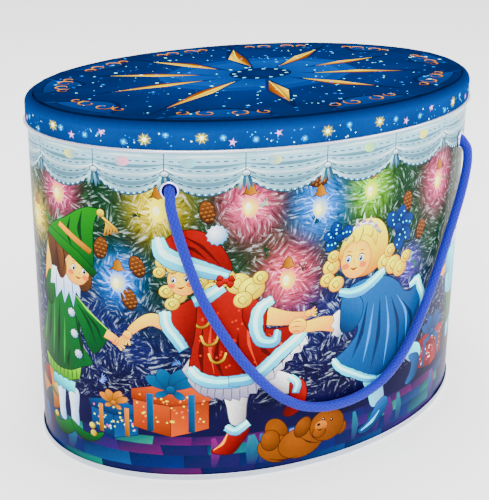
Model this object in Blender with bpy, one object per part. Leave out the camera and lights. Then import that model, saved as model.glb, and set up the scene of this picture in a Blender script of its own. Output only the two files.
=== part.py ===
"""An oval cookie tin with a lift-off lid and a cord handle on its front, in metres.
+X runs along the tin, -Y is its front and +Z is up. The origin is in the middle of its foot."""

import math

import bmesh
import bpy
from mathutils import Matrix, Vector

# The wall: a sheet rolled to an oval, a little wider at the foot
WALL_LONG = 0.2365
WALL_SHORT = 0.1646
BODY_HEIGHT = 0.1706
FLARE = 0.0010
PLATE = 0.0005
BODY_CURL_R = 0.0011
GAP = 0.0003

# The base, seamed to the wall's lower edge
HOOK = 0.00055
WEB = 0.0008
CHUCK = 0.0006
RIM_HEIGHT = 0.0029

# The lid
LID_HEIGHT = 0.0135
SHOULDER = 0.0036
PANEL_STEP = 0.0009
LID_BEAD_R = 0.0008

# The cord's eyelets, placed by their angle from the middle of the front or the back
EYELET_ANGLE = math.radians(44.2)
EYELET_HEIGHT = 0.1440
BORE_R = 0.0029
BARREL = 0.0004
FLANGE = 0.0014
FLANGE_RISE = 0.0013
COLLAR_R = 0.0053
COLLAR_THICK = 0.0007

# The cord and its knots
CORD_R = 0.0024
KNOT_R = 0.0055
KNOT_HALF = 0.0048

# The hanging cord from its left end to its right end, each just behind the handle's hinge axis
CORD_POINTS = [
    (-0.0839, -0.0620, 0.1417),
    (-0.0846, -0.0633, 0.1395),
    (-0.0845, -0.0641, 0.1362),
    (-0.0835, -0.0648, 0.1310),
    (-0.0817, -0.0655, 0.1240),
    (-0.0792, -0.0664, 0.1150),
    (-0.0761, -0.0675, 0.1050),
    (-0.0724, -0.0690, 0.0945),
    (-0.0677, -0.0711, 0.0840),
    (-0.0618, -0.0738, 0.0728),
    (-0.0548, -0.0766, 0.0615),
    (-0.0466, -0.0794, 0.0508),
    (-0.0374, -0.0819, 0.0415),
    (-0.0271, -0.0839, 0.0351),
    (-0.0161, -0.0852, 0.0319),
    (-0.0049, -0.0858, 0.0311),
    (0.0063, -0.0857, 0.0320),
    (0.0172, -0.0850, 0.0349),
    (0.0272, -0.0837, 0.0401),
    (0.0363, -0.0819, 0.0478),
    (0.0444, -0.0799, 0.0576),
    (0.0520, -0.0775, 0.0685),
    (0.0592, -0.0749, 0.0800),
    (0.0661, -0.0720, 0.0915),
    (0.0726, -0.0693, 0.1028),
    (0.0782, -0.0672, 0.1138),
    (0.0821, -0.0657, 0.1240),
    (0.0841, -0.0647, 0.1320),
    (0.0846, -0.0640, 0.1364),
    (0.0846, -0.0632, 0.1396),
    (0.0839, -0.0620, 0.1417),
]

OVAL_STEPS = 96
ROUND_STEPS = 24
PANEL_INSET = 0.012  # a flat panel is one face from this far inside the wall

# Where the lid's levels come from: its shoulder clears the wall's curl by GAP all round
SKIRT_IN = GAP
SKIRT_OUT = SKIRT_IN + PLATE
SHOULDER_Z = BODY_HEIGHT - BODY_CURL_R
CREST_Z = SHOULDER_Z + SHOULDER
PANEL_Z = CREST_Z + PANEL_STEP
LID_FOOT_Z = PANEL_Z - LID_HEIGHT
WALL_FOOT_Z = WEB + GAP


def material(name, colour, roughness, metallic):
    made = bpy.data.materials.new(name)
    made.use_nodes = True
    shader = made.node_tree.nodes["Principled BSDF"]
    shader.inputs["Base Color"].default_value = (*colour, 1.0)
    shader.inputs["Roughness"].default_value = roughness
    shader.inputs["Metallic"].default_value = metallic
    made.diffuse_color = (*colour, 1.0)
    return made


def arc(centre, radius, start, end, steps):
    """Points of an arc in a profile, from the start angle to the end angle in degrees."""
    points = []
    for i in range(steps + 1):
        angle = math.radians(start + (end - start) * i / steps)
        points.append((centre[0] + radius * math.cos(angle), centre[1] + radius * math.sin(angle)))
    return points


def flare_at(z):
    return FLARE * (SHOULDER_Z - z) / (SHOULDER_Z - WALL_FOOT_Z)


def spun(profile, steps, closed):
    """The profile's (radius, height) points turned once round Z."""
    shape = bmesh.new()
    ring = [shape.verts.new((radius, 0, height)) for radius, height in profile]
    edges = [shape.edges.new(pair) for pair in zip(ring, ring[1:])]
    if closed:
        edges.append(shape.edges.new((ring[-1], ring[0])))
    bmesh.ops.spin(shape, geom=ring + edges, axis=(0, 0, 1), cent=(0, 0, 0),
                   angle=math.tau, steps=steps, use_merge=True)
    return shape


def finish(name, shape, finish_material):
    bmesh.ops.recalc_face_normals(shape, faces=shape.faces)
    mesh = bpy.data.meshes.new(name)
    shape.to_mesh(mesh)
    shape.free()
    made = bpy.data.objects.new(name, mesh)
    bpy.context.scene.collection.objects.link(made)
    mesh.materials.append(finish_material)
    return made


def oval_piece(name, profile, closed, finish_material):
    """A pressed or rolled piece: (offset from the wall's outer face, height) points, carried round the oval."""
    short_r = WALL_SHORT / 2
    stretch = (WALL_LONG - WALL_SHORT) / 2
    shape = spun([(short_r + offset, z) for offset, z in profile], OVAL_STEPS, closed)
    for vert in shape.verts:
        vert.co.x += stretch * vert.co.x / math.hypot(vert.co.x, vert.co.y)
    if not closed:
        rims = [edge for edge in shape.edges if edge.is_boundary]
        bmesh.ops.holes_fill(shape, edges=rims, sides=0)
    return finish(name, shape, finish_material)


def eyelet_place(front, side):
    """A frame on the wall's outer face: its origin at an eyelet's centre, its Z straight out of the wall."""
    out_x = side * math.sin(EYELET_ANGLE)
    out_y = front * -math.cos(EYELET_ANGLE)
    semi_long = WALL_LONG / 2 + flare_at(EYELET_HEIGHT)
    semi_short = WALL_SHORT / 2 + flare_at(EYELET_HEIGHT)
    normal = Vector((out_x / semi_long, out_y / semi_short, 0))
    turn = normal.to_track_quat("Z", "Y").to_matrix().to_4x4()
    return Matrix.Translation((semi_long * out_x, semi_short * out_y, EYELET_HEIGHT)) @ turn


def body_shell(finish_material):
    foot = flare_at(WALL_FOOT_Z)
    curl = arc((-BODY_CURL_R, SHOULDER_Z), BODY_CURL_R, 0, 300, 8)
    levels = [BODY_HEIGHT * share for share in (0.2, 0.4, 0.6, 0.75, 0.9)]
    outside = [(foot, WALL_FOOT_Z)] + [(flare_at(z), z) for z in levels]
    inside = [(flare_at(z) - PLATE, z) for z in reversed(levels)] + [(foot - PLATE, WALL_FOOT_Z)]
    return oval_piece("body_shell", outside + curl + inside, True, finish_material)


def base_end(finish_material):
    """The base: a hooked rim that holds the wall's lower edge, and a panel set up inside it."""
    hook_in = FLARE + GAP
    hook_out = hook_in + HOOK
    chuck_out = FLARE - PLATE - GAP
    chuck_in = chuck_out - CHUCK
    panel_z = RIM_HEIGHT - PLATE
    soft = 0.4 * HOOK
    profile = [
        (-PANEL_INSET, panel_z), (chuck_in - CHUCK, panel_z), (chuck_in - soft / 2, panel_z - soft),
        (chuck_in, panel_z - 2 * soft), (chuck_in, soft), (chuck_in + soft, 0),
        (hook_out - soft, 0), (hook_out, soft), (hook_out, RIM_HEIGHT - soft),
        (hook_out - soft, RIM_HEIGHT), (hook_in, RIM_HEIGHT - soft), (hook_in, WEB), (chuck_out, WEB),
        (chuck_out, RIM_HEIGHT - soft), (chuck_out - soft, RIM_HEIGHT), (-PANEL_INSET, RIM_HEIGHT),
    ]
    return oval_piece("base_end", profile, False, finish_material)


def lid(finish_material):
    """The lid: a panel stepped up inside a round shoulder, and a skirt with an outward bead at its edge."""
    centre = (SKIRT_OUT - SHOULDER, SHOULDER_Z)
    bead = (SKIRT_IN + LID_BEAD_R, LID_FOOT_Z + LID_BEAD_R)
    meet = math.degrees(math.acos((SKIRT_OUT - bead[0]) / LID_BEAD_R))
    step = centre[0] - PANEL_STEP / 4
    underside = [
        (-PANEL_INSET, PANEL_Z - PLATE), (step - PANEL_STEP, PANEL_Z - PLATE),
        (step - 0.75 * PANEL_STEP, CREST_Z - PLATE / 2),
    ]
    top = [
        (step, CREST_Z + 0.15 * PANEL_STEP), (step - PLATE / 3, CREST_Z + 0.75 * PANEL_STEP),
        (step - PLATE, PANEL_Z), (-PANEL_INSET, PANEL_Z),
    ]
    profile = (underside + arc(centre, SHOULDER - PLATE, 90, 0, 4) + arc(bead, LID_BEAD_R, 180, 360 + meet, 8)
               + arc(centre, SHOULDER, 0, 90, 5) + top)
    return oval_piece("lid", profile, False, finish_material)


def eyelet(name, place, finish_material):
    """A tube eyelet: a domed flange outside the wall and a rolled end inside it."""
    barrel_r = BORE_R + BARREL
    flange_r = BORE_R + FLANGE
    collar_top = -(PLATE + 2 * GAP)
    roll_z = collar_top - COLLAR_THICK - GAP
    roll = arc((barrel_r + BARREL / 2, roll_z - BARREL), BARREL, 60, -180, 4)
    flange = [
        (barrel_r, GAP), (flange_r, GAP), (flange_r, GAP + BARREL), (flange_r - FLANGE / 4, 0.85 * FLANGE_RISE),
        (BORE_R + FLANGE / 2, FLANGE_RISE), (BORE_R + FLANGE / 6, 0.85 * FLANGE_RISE), (BORE_R, FLANGE_RISE / 2),
    ]
    profile = flange + [(BORE_R, roll_z - BARREL)] + list(reversed(roll[:-1])) + [(barrel_r, roll_z)]
    shape = spun(profile, ROUND_STEPS, True)
    shape.transform(place)
    return finish(name, shape, finish_material)


def eyelet_collar(name, place, finish_material):
    """The flat ring that an eyelet is rolled over, inside the wall."""
    inner = BORE_R + BARREL + GAP
    high = -(PLATE + 2 * GAP)
    low = high - COLLAR_THICK
    soft = COLLAR_THICK / 4
    profile = [(inner, high), (COLLAR_R - soft, high), (COLLAR_R, high - soft), (COLLAR_R, low), (inner, low)]
    shape = spun(profile, ROUND_STEPS, True)
    shape.transform(place)
    return finish(name, shape, finish_material)


def eyelet_holes(places):
    """The four holes in the wall, as one cutter."""
    shape = bmesh.new()
    radius = BORE_R + BARREL + GAP
    for place in places:
        bmesh.ops.create_cone(shape, cap_ends=True, segments=ROUND_STEPS, radius1=radius, radius2=radius,
                              depth=12 * PLATE, matrix=place)
    return shape


def cord_tube(name, points, origin, finish_material):
    curve = bpy.data.curves.new(name, "CURVE")
    curve.dimensions = "3D"
    curve.bevel_depth = CORD_R
    curve.bevel_resolution = 2
    curve.use_fill_caps = True
    spline = curve.splines.new("POLY")
    spline.points.add(len(points) - 1)
    for target, point in zip(spline.points, points):
        target.co = (*(Vector(point) - origin), 1)
    curve.materials.append(finish_material)
    made = bpy.data.objects.new(name, curve)
    made.location = origin
    bpy.context.scene.collection.objects.link(made)
    return made


def cord_knot(name, place, tail_end, finish_material):
    """A knot's outer shape: a round, slightly flat lump just past the tail's inner end."""
    shape = bmesh.new()
    bmesh.ops.create_uvsphere(shape, u_segments=16, v_segments=10, radius=KNOT_R)
    bmesh.ops.scale(shape, vec=(1, 1, KNOT_HALF / KNOT_R), verts=shape.verts)
    bmesh.ops.translate(shape, vec=(0, 0, tail_end - GAP - KNOT_HALF), verts=shape.verts)
    shape.transform(place)
    return finish(name, shape, finish_material)


def build():
    for old in list(bpy.data.objects):
        bpy.data.objects.remove(old, do_unlink=True)
    printed = material("printed_tinplate", (0.16, 0.24, 0.42), 0.32, 0.35)
    lid_print = material("blue_tinplate", (0.02, 0.14, 0.42), 0.28, 0.35)
    bare = material("bare_tinplate", (0.66, 0.67, 0.69), 0.30, 1.0)
    chrome = material("eyelet_chrome", (0.78, 0.78, 0.80), 0.12, 1.0)
    braid = material("blue_braid", (0.03, 0.06, 0.62), 0.75, 0.0)

    wall = body_shell(printed)
    base_end(bare)
    lid(lid_print)

    places = {}
    for front, end in ((1, "front"), (-1, "back")):
        for side, hand in ((-1, "left"), (1, "right")):
            places[f"{end}_{hand}"] = eyelet_place(front, side)
    cutter = finish("eyelet_hole_cutter", eyelet_holes(places.values()), bare)
    cutter.hide_render = True
    cutter.display_type = "WIRE"
    holes = wall.modifiers.new("eyelet_holes", "BOOLEAN")
    holes.operation = "DIFFERENCE"
    holes.solver = "EXACT"
    holes.object = cutter

    for spot, place in places.items():
        eyelet(f"eyelet_{spot}", place, chrome)
        eyelet_collar(f"eyelet_collar_{spot}", place, chrome)

    # The tails run through the front eyelets to the knots; the handle between them swings on its two ends.
    tail_end = -(PLATE + 3 * GAP + COLLAR_THICK + 3 * BARREL)
    for hand in ("left", "right"):
        place = places[f"front_{hand}"]
        tail = [place @ Vector((0, 0, reach)) for reach in (FLANGE_RISE, 0, tail_end)]
        cord_tube(f"cord_tail_{hand}", tail, Vector((0, 0, 0)), braid)
        cord_knot(f"cord_knot_{hand}", place, tail_end, braid)
    hinge = (Vector(CORD_POINTS[0]) + Vector(CORD_POINTS[-1])) / 2
    cord_tube("cord_handle", CORD_POINTS, hinge, braid)


build()
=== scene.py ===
import math
import random

import bmesh
import bpy
import numpy as np
from mathutils import Matrix, Vector
from mathutils.geometry import delaunay_2d_cdt


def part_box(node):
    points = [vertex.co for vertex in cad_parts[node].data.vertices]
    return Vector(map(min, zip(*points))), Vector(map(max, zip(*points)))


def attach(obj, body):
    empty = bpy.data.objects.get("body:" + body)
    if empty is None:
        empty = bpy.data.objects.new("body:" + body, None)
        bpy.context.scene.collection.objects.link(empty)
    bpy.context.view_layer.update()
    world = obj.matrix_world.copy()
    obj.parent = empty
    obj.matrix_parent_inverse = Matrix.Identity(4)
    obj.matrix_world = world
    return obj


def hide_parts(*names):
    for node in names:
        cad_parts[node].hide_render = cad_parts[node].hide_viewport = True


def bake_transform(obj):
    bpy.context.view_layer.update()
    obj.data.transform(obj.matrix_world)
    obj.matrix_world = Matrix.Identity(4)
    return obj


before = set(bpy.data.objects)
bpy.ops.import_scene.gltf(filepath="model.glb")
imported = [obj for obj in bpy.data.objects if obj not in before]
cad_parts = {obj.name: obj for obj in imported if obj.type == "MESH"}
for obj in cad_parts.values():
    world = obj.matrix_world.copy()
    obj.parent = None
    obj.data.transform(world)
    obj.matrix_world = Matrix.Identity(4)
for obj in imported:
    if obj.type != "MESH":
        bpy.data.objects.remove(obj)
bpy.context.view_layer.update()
mm = 0.001

# The tin's sheet sizes, in metres. Its outline comes from the frame.
tin = {
    "plate": 0.0005, "flare": 0.0010, "curl": 0.0011, "footZ": 0.0011,
    "gap": 0.0003, "columns": 360,
}
bodyLow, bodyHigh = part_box("body_shell")
halfLong = bodyHigh.x - tin["flare"]
halfShort = bodyHigh.y - tin["flare"]
stretch = halfLong - halfShort
shoulderZ = bodyHigh.z - tin["curl"]

# How far round the wall each turn from the middle of the front lies, in millimetres
turns = np.linspace(-math.pi, math.pi, 7201)
pace = np.hypot(halfLong * np.cos(turns), halfShort * np.sin(turns))
travel = np.concatenate([[0], np.cumsum((pace[1:] + pace[:-1]) / 2 * np.diff(turns))]) / mm
travel -= travel[-1] / 2
girth = travel[-1] * 2
columnTurns = np.linspace(-math.pi, math.pi, tin["columns"] + 1)
columnTravel = np.interp(columnTurns, turns, travel)


# The wall narrows evenly from its foot to its shoulder
def flareAt(z):
    return tin["flare"] * (shoulderZ - z) / (shoulderZ - tin["footZ"])


def ontoOval(across, z, offset):
    turn = np.interp(across, travel, turns)
    return np.stack([(halfShort + offset + stretch) * np.sin(turn), -(halfShort + offset) * np.cos(turn), z],
                    1)


def ovalNormals(points, offset, lean):
    out = np.stack([points[:, 0] / (halfShort + offset + stretch) ** 2,
                    points[:, 1] / (halfShort + offset) ** 2], 1)
    out /= np.linalg.norm(out, axis=1)[:, None]
    full = np.column_stack([out, np.full(len(out), lean)])
    return full / np.linalg.norm(full, axis=1)[:, None]


# Camera
view = {
    "target": (-0.00486, 0.00396, 0.07984), "azimuth": -32.15, "elevation": 21.42,
    "distance": 0.5625, "roll": 0.0097, "lens": 76.15,
}


def placeCamera():
    azimuth, elevation = math.radians(view["azimuth"]), math.radians(view["elevation"])
    back = Vector((math.sin(azimuth) * math.cos(elevation), -math.cos(azimuth) * math.cos(elevation),
                   math.sin(elevation)))
    right = Vector((math.cos(azimuth), math.sin(azimuth), 0))
    turned = Matrix((right, back.cross(right), back)).transposed() @ Matrix.Rotation(view["roll"], 3, "Z")
    data = bpy.data.cameras.new("camera")
    data.lens = view["lens"]
    data.sensor_width = 36
    data.sensor_fit = "AUTO"
    data.clip_start = 0.01
    camera = bpy.data.objects.new("camera", data)
    stands = Vector(view["target"]) + back * view["distance"]
    camera.matrix_world = Matrix.Translation(stands) @ turned.to_4x4()
    bpy.context.scene.collection.objects.link(camera)
    bpy.context.scene.camera = camera


placeCamera()
print("camera placed")


# Materials. A paint is named by how it should look once shown, so the view's soft curve is undone first:
# a colour is mixed towards grey, its curve is turned back, and then it is spread from grey again.
film = {
    "inset": 0.65, "insetWeights": (0.14, 0.59, 0.27), "outset": 2.98, "outsetWeights": (0.18, 0.54, 0.28),
    "gain": 0.74, "toe": 0.93, "shoulder": 1.18, "light": 3.7, "least": 0.0005, "most": 0.93,
}


def plain(colour):
    values = [int(colour[i:i + 2], 16) / 255 for i in (0, 2, 4)]
    return np.array([c / 12.92 if c <= 0.04045 else ((c + 0.055) / 1.055) ** 2.4 for c in values])


knownPaints = {}


def linear(colour):
    if colour not in knownPaints:
        seen = plain(colour)
        mixed = seen + (seen @ film["insetWeights"] - seen) * film["inset"]
        mixed = np.clip(mixed, 1e-5, 0.99)
        turned = film["gain"] * mixed ** film["toe"] / (1 - mixed) ** film["shoulder"]
        grey = turned @ film["outsetWeights"]
        scene = (grey + (turned - grey) * film["outset"]) / film["light"]
        knownPaints[colour] = np.clip(scene, film["least"], film["most"])
    return knownPaints[colour]


def newMaterial(name, colour, roughness, metallic):
    made = bpy.data.materials.new(name)
    made.use_nodes = True
    shader = made.node_tree.nodes["Principled BSDF"]
    shader.inputs["Base Color"].default_value = (*linear(colour), 1)
    shader.inputs["Roughness"].default_value = roughness
    shader.inputs["Metallic"].default_value = metallic
    return made, made.node_tree.nodes, made.node_tree.links, shader


def texture(nodes, links, kind, source, scale, detail=3.0, stretchBy=(1, 1, 1)):
    mapping = nodes.new("ShaderNodeMapping")
    mapping.inputs["Scale"].default_value = stretchBy
    links.new(source, mapping.inputs["Vector"])
    made = nodes.new(kind)
    made.inputs["Scale"].default_value = scale
    if "Detail" in made.inputs:
        made.inputs["Detail"].default_value = detail
    links.new(mapping.outputs["Vector"], made.inputs["Vector"])
    return made


def ramp(nodes, links, source, low, high, bottom, top):
    made = nodes.new("ShaderNodeMapRange")
    for socket, value in zip(("From Min", "From Max", "To Min", "To Max"), (low, high, bottom, top)):
        made.inputs[socket].default_value = value
    links.new(source, made.inputs["Value"])
    return made.outputs["Result"]


def addBump(nodes, links, shader, height, strength, distance):
    bump = nodes.new("ShaderNodeBump")
    bump.inputs["Strength"].default_value = strength
    bump.inputs["Distance"].default_value = distance
    links.new(height, bump.inputs["Height"])
    links.new(bump.outputs["Normal"], shader.inputs["Normal"])


printFinish = {"roughness": 0.30, "wallGloss": 0.03, "lidGloss": 0.0}


def printedTin(name, gloss):
    made, nodes, links, shader = newMaterial(name, "3060a0", printFinish["roughness"], 0.0)
    shader.inputs["Specular IOR Level"].default_value = gloss
    picture = nodes.new("ShaderNodeVertexColor")
    picture.layer_name = "picture"
    flat = nodes.new("ShaderNodeUVMap")
    flat.uv_map = "flat"
    # Short brush marks, each patch of them in its own direction
    patch = nodes.new("ShaderNodeTexVoronoi")
    patch.inputs["Scale"].default_value = 14
    wobble = texture(nodes, links, "ShaderNodeTexNoise", flat.outputs["UV"], 9, 2)
    shifted = nodes.new("ShaderNodeVectorMath")
    shifted.operation = "MULTIPLY_ADD"
    shifted.inputs[1].default_value = (0.12, 0.12, 0)
    links.new(wobble.outputs["Color"], shifted.inputs[0])
    links.new(flat.outputs["UV"], shifted.inputs[2])
    links.new(shifted.outputs["Vector"], patch.inputs["Vector"])
    spin = nodes.new("ShaderNodeVectorRotate")
    spin.rotation_type = "Z_AXIS"
    links.new(flat.outputs["UV"], spin.inputs["Vector"])
    split = nodes.new("ShaderNodeSeparateColor")
    links.new(patch.outputs["Color"], split.inputs["Color"])
    links.new(ramp(nodes, links, split.outputs["Red"], 0, 1, -1.9, 1.9), spin.inputs["Angle"])
    strokes = texture(nodes, links, "ShaderNodeTexNoise", spin.outputs["Vector"], 75, 3.5, (1.0, 0.16, 1))
    strokes.inputs["Roughness"].default_value = 0.72
    stroke = ramp(nodes, links, strokes.outputs["Fac"], 0.36, 0.66, -1.0, 1.0)
    grain = texture(nodes, links, "ShaderNodeTexNoise", flat.outputs["UV"], 55, 4)
    grainAmount = ramp(nodes, links, grain.outputs["Fac"], 0.3, 0.7, 0.93, 1.07)
    brushed = nodes.new("ShaderNodeMath")
    brushed.operation = "MULTIPLY"
    links.new(stroke, brushed.inputs[0])
    links.new(picture.outputs["Alpha"], brushed.inputs[1])
    lift = nodes.new("ShaderNodeMath")
    lift.operation = "MULTIPLY_ADD"
    lift.inputs[1].default_value = 0.75
    links.new(brushed.outputs["Value"], lift.inputs[0])
    links.new(grainAmount, lift.inputs[2])
    shade = nodes.new("ShaderNodeVectorMath")
    shade.operation = "SCALE"
    links.new(picture.outputs["Color"], shade.inputs[0])
    links.new(lift.outputs["Value"], shade.inputs["Scale"])
    glint = nodes.new("ShaderNodeMix")
    glint.data_type = "RGBA"
    glint.inputs["B"].default_value = (0.62, 0.74, 0.80, 1)
    links.new(ramp(nodes, links, brushed.outputs["Value"], 0.25, 1.0, 0, 0.40), glint.inputs["Factor"])
    links.new(shade.outputs["Vector"], glint.inputs["A"])
    links.new(glint.outputs["Result"], shader.inputs["Base Color"])
    waves = texture(nodes, links, "ShaderNodeTexNoise", flat.outputs["UV"], 2.2, 1)
    addBump(nodes, links, shader, waves.outputs["Fac"], 0.10, 0.002)
    return made


def bareTin(name, colour, roughness):
    made, nodes, links, shader = newMaterial(name, colour, roughness, 1.0)
    place = nodes.new("ShaderNodeTexCoord").outputs["Object"]
    streaks = texture(nodes, links, "ShaderNodeTexNoise", place, 900, 2, (1, 1, 0.06))
    links.new(ramp(nodes, links, streaks.outputs["Fac"], 0.3, 0.7, roughness - 0.06, roughness + 0.08),
              shader.inputs["Roughness"])
    cloud = texture(nodes, links, "ShaderNodeTexNoise", place, 60, 4)
    tint = nodes.new("ShaderNodeMix")
    tint.data_type = "RGBA"
    tint.inputs["A"].default_value = (*linear(colour) * 0.86, 1)
    tint.inputs["B"].default_value = (*linear(colour), 1)
    links.new(cloud.outputs["Fac"], tint.inputs["Factor"])
    links.new(tint.outputs["Result"], shader.inputs["Base Color"])
    addBump(nodes, links, shader, streaks.outputs["Fac"], 0.08, 0.0003)
    return made


def chromePlate(name):
    made, nodes, links, shader = newMaterial(name, "dcdce4", 0.12, 1.0)
    place = nodes.new("ShaderNodeTexCoord").outputs["Object"]
    marks = texture(nodes, links, "ShaderNodeTexNoise", place, 420, 3)
    links.new(ramp(nodes, links, marks.outputs["Fac"], 0.3, 0.75, 0.08, 0.2), shader.inputs["Roughness"])
    addBump(nodes, links, shader, marks.outputs["Fac"], 0.05, 0.0002)
    return made


# The cord's own blue on the strands' crowns, a darker blue painted into the weave's grooves as painted shade,
# and its roughness
braidFinishAndShade = {"crown": "1c5cdc", "grooveShade": "0a2a94", "roughness": 0.5}


def blueBraid(name):
    made, nodes, links, shader = newMaterial(name, braidFinishAndShade["crown"], braidFinishAndShade["roughness"], 0.0)
    weave = nodes.new("ShaderNodeAttribute")
    weave.attribute_name = "weave"
    flat = nodes.new("ShaderNodeUVMap")
    flat.uv_map = "flat"
    fibre = texture(nodes, links, "ShaderNodeTexNoise", flat.outputs["UV"], 60, 3)
    height = nodes.new("ShaderNodeMath")
    height.operation = "MULTIPLY"
    links.new(weave.outputs["Fac"], height.inputs[0])
    links.new(ramp(nodes, links, fibre.outputs["Fac"], 0.3, 0.7, 0.75, 1.15), height.inputs[1])
    # Painted shade: the colour runs from the cord's blue on the raised strands to the darker groove blue
    # where the weave sinks in
    tint = nodes.new("ShaderNodeMix")
    tint.data_type = "RGBA"
    tint.inputs["A"].default_value = (*linear(braidFinishAndShade["grooveShade"]), 1)
    tint.inputs["B"].default_value = (*linear(braidFinishAndShade["crown"]), 1)
    links.new(height.outputs["Value"], tint.inputs["Factor"])
    links.new(tint.outputs["Result"], shader.inputs["Base Color"])
    shader.inputs["Sheen Weight"].default_value = 0.06
    shader.inputs["Specular IOR Level"].default_value = 0.12
    addBump(nodes, links, shader, fibre.outputs["Fac"], 0.35, 0.0004)
    return made


wallPrint = printedTin("wallPrint", printFinish["wallGloss"])
lidPrint = printedTin("lidPrint", printFinish["lidGloss"])
silverTin = bareTin("silverTin", "d6d8dc", 0.30)
insideTin = bareTin("insideTin", "e8e8ea", 0.38)
chrome = chromePlate("chrome")
braid = blueBraid("braid")
print("materials made")


# Painting: an art list holds (outline in millimetres, how it is coloured), the later ones on top.
# smoothLine runs a curve through the points, and ribbon is a stroke along one.
def smoothLine(points, closed=True, steps=5):
    p = np.array(points, float)
    if closed:
        p = np.vstack([p[-1:], p, p[:2]])
    else:
        p = np.vstack([2 * p[:1] - p[1:2], p, 2 * p[-1:] - p[-2:-1]])
    t = np.linspace(0, 1, steps, endpoint=False)[:, None]
    parts = [0.5 * (2 * b + (c - a) * t + (2 * a - 5 * b + 4 * c - d) * t ** 2
                    + (3 * b - a - 3 * c + d) * t ** 3)
             for a, b, c, d in zip(p, p[1:], p[2:], p[3:])]
    if not closed:
        parts.append(p[-2:-1])
    return np.vstack(parts)


def ribbon(points, widths, steps=5):
    middle = smoothLine(points, False, steps)
    along = np.gradient(middle, axis=0)
    along /= np.maximum(np.linalg.norm(along, axis=1)[:, None], 1e-9)
    side = np.column_stack([-along[:, 1], along[:, 0]])
    half = np.interp(np.linspace(0, 1, len(middle)), np.linspace(0, 1, len(widths)), widths)[:, None] / 2
    return np.vstack([middle + side * half, (middle - side * half)[::-1]])


def ellipse(x, y, rx, ry=None, turn=0, count=20):
    a = np.linspace(0, math.tau, count, endpoint=False)
    ry = rx if ry is None else ry
    c, s = math.cos(math.radians(turn)), math.sin(math.radians(turn))
    u, v = rx * np.cos(a), ry * np.sin(a)
    return np.column_stack([x + u * c - v * s, y + u * s + v * c])


def starShape(x, y, outer, inner, rays, turn=0):
    a = np.linspace(0, math.tau, 2 * rays, endpoint=False) + math.radians(90 + turn)
    r = np.where(np.arange(2 * rays) % 2 == 0, outer, inner)
    return np.column_stack([x + r * np.cos(a), y + r * np.sin(a)])


def grown(outline, by):
    outline = np.asarray(outline, float)
    before, after = np.roll(outline, 1, 0), np.roll(outline, -1, 0)
    area = np.sum(outline[:, 0] * after[:, 1] - after[:, 0] * outline[:, 1])
    along = after - before
    along /= np.maximum(np.linalg.norm(along, axis=1)[:, None], 1e-9)
    out = np.column_stack([along[:, 1], -along[:, 0]]) * (1 if area > 0 else -1)
    return outline + out * by


# Leaves out the corners that lie almost on the line between their neighbours
def slim(outline, within=0.08):
    for start in (0, 1, 0, 1):
        if len(outline) < 6:
            break
        before, after = np.roll(outline, 1, axis=0), np.roll(outline, -1, axis=0)
        chord = after - before
        off = outline - before
        away = np.abs(chord[:, 0] * off[:, 1] - chord[:, 1] * off[:, 0]) / (np.hypot(*chord.T) + 1e-9)
        inner = np.arange(len(outline)) % 2 == start
        inner[-1] = False
        outline = outline[~(inner & (away < within))]
    return outline


def put(art, outline, light, dark=None, angle=90, ball=None, brush=0.0, edge=None, grow=0.35):
    outline = np.asarray(outline, float)
    if edge is not None:
        put(art, grown(outline, grow), edge)
    light = linear(light)
    dark = light if dark is None else linear(dark)
    if ball is None:
        d = np.array([math.cos(math.radians(angle)), math.sin(math.radians(angle))])
        reach = outline @ d
        span = max(reach.max() - reach.min(), 1e-6)
        how = (0, d[0] / span, d[1] / span, -reach.min() / span)
    else:
        how = (1, *ball)
    art.append((outline, (*how, light, dark, brush)))


def soft(art, steps, points, *paint, **more):
    put(art, smoothLine(points, True, steps), *paint, **more)


def movedBy(x):
    return lambda points: [(x + u, v) for u, v in points]


def wrapped(art, period):
    copies = []
    for outline, paint in art:
        copies.append((outline, paint, 0))
        for shift in (-period, period):
            moved = outline + (shift, 0)
            if moved[:, 0].max() > -period / 2 and moved[:, 0].min() < period / 2:
                copies.append((moved, paint, shift))
    return [c for c in copies if c[0][:, 0].max() > -period / 2 and c[0][:, 0].min() < period / 2]


# The part of an outline that lies on one strip of the sheet
def clipped(outline, left, right):
    for limit, side in ((left, 1), (right, -1)):
        out = []
        for (ax, ay), (bx, by) in zip(outline, np.roll(outline, -1, axis=0)):
            inA, inB = (ax - limit) * side >= 0, (bx - limit) * side >= 0
            if inA:
                out.append((ax, ay))
            if inA != inB:
                first, last = ((ax, ay), (bx, by)) if ax < bx else ((bx, by), (ax, ay))
                t = (limit - first[0]) / (last[0] - first[0])
                out.append((limit, first[1] + (last[1] - first[1]) * t))
        outline = np.array(out)
        if len(outline) < 3:
            return None
    return outline


# Which outline is on top at each face, by how often each outline winds round the face's middle
def topmost(centres, outlines, near):
    tops = np.zeros(len(centres), int)
    for i in near:
        shape = outlines[i]
        (lowX, lowY), (highX, highY) = shape.min(axis=0), shape.max(axis=0)
        inside = np.nonzero((centres[:, 0] > lowX) & (centres[:, 0] < highX)
                            & (centres[:, 1] > lowY) & (centres[:, 1] < highY))[0]
        if not len(inside):
            continue
        x, y = centres[inside, 0][:, None], centres[inside, 1][:, None]
        (ax, ay), (bx, by) = shape.T, np.roll(shape, -1, axis=0).T
        side = (bx - ax) * (y - ay) - (x - ax) * (by - ay)
        upward = ((ay <= y) & (by > y) & (side > 0)).sum(axis=1)
        downward = ((ay > y) & (by <= y) & (side < 0)).sum(axis=1)
        tops[inside[upward != downward]] = i
    return tops


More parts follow.
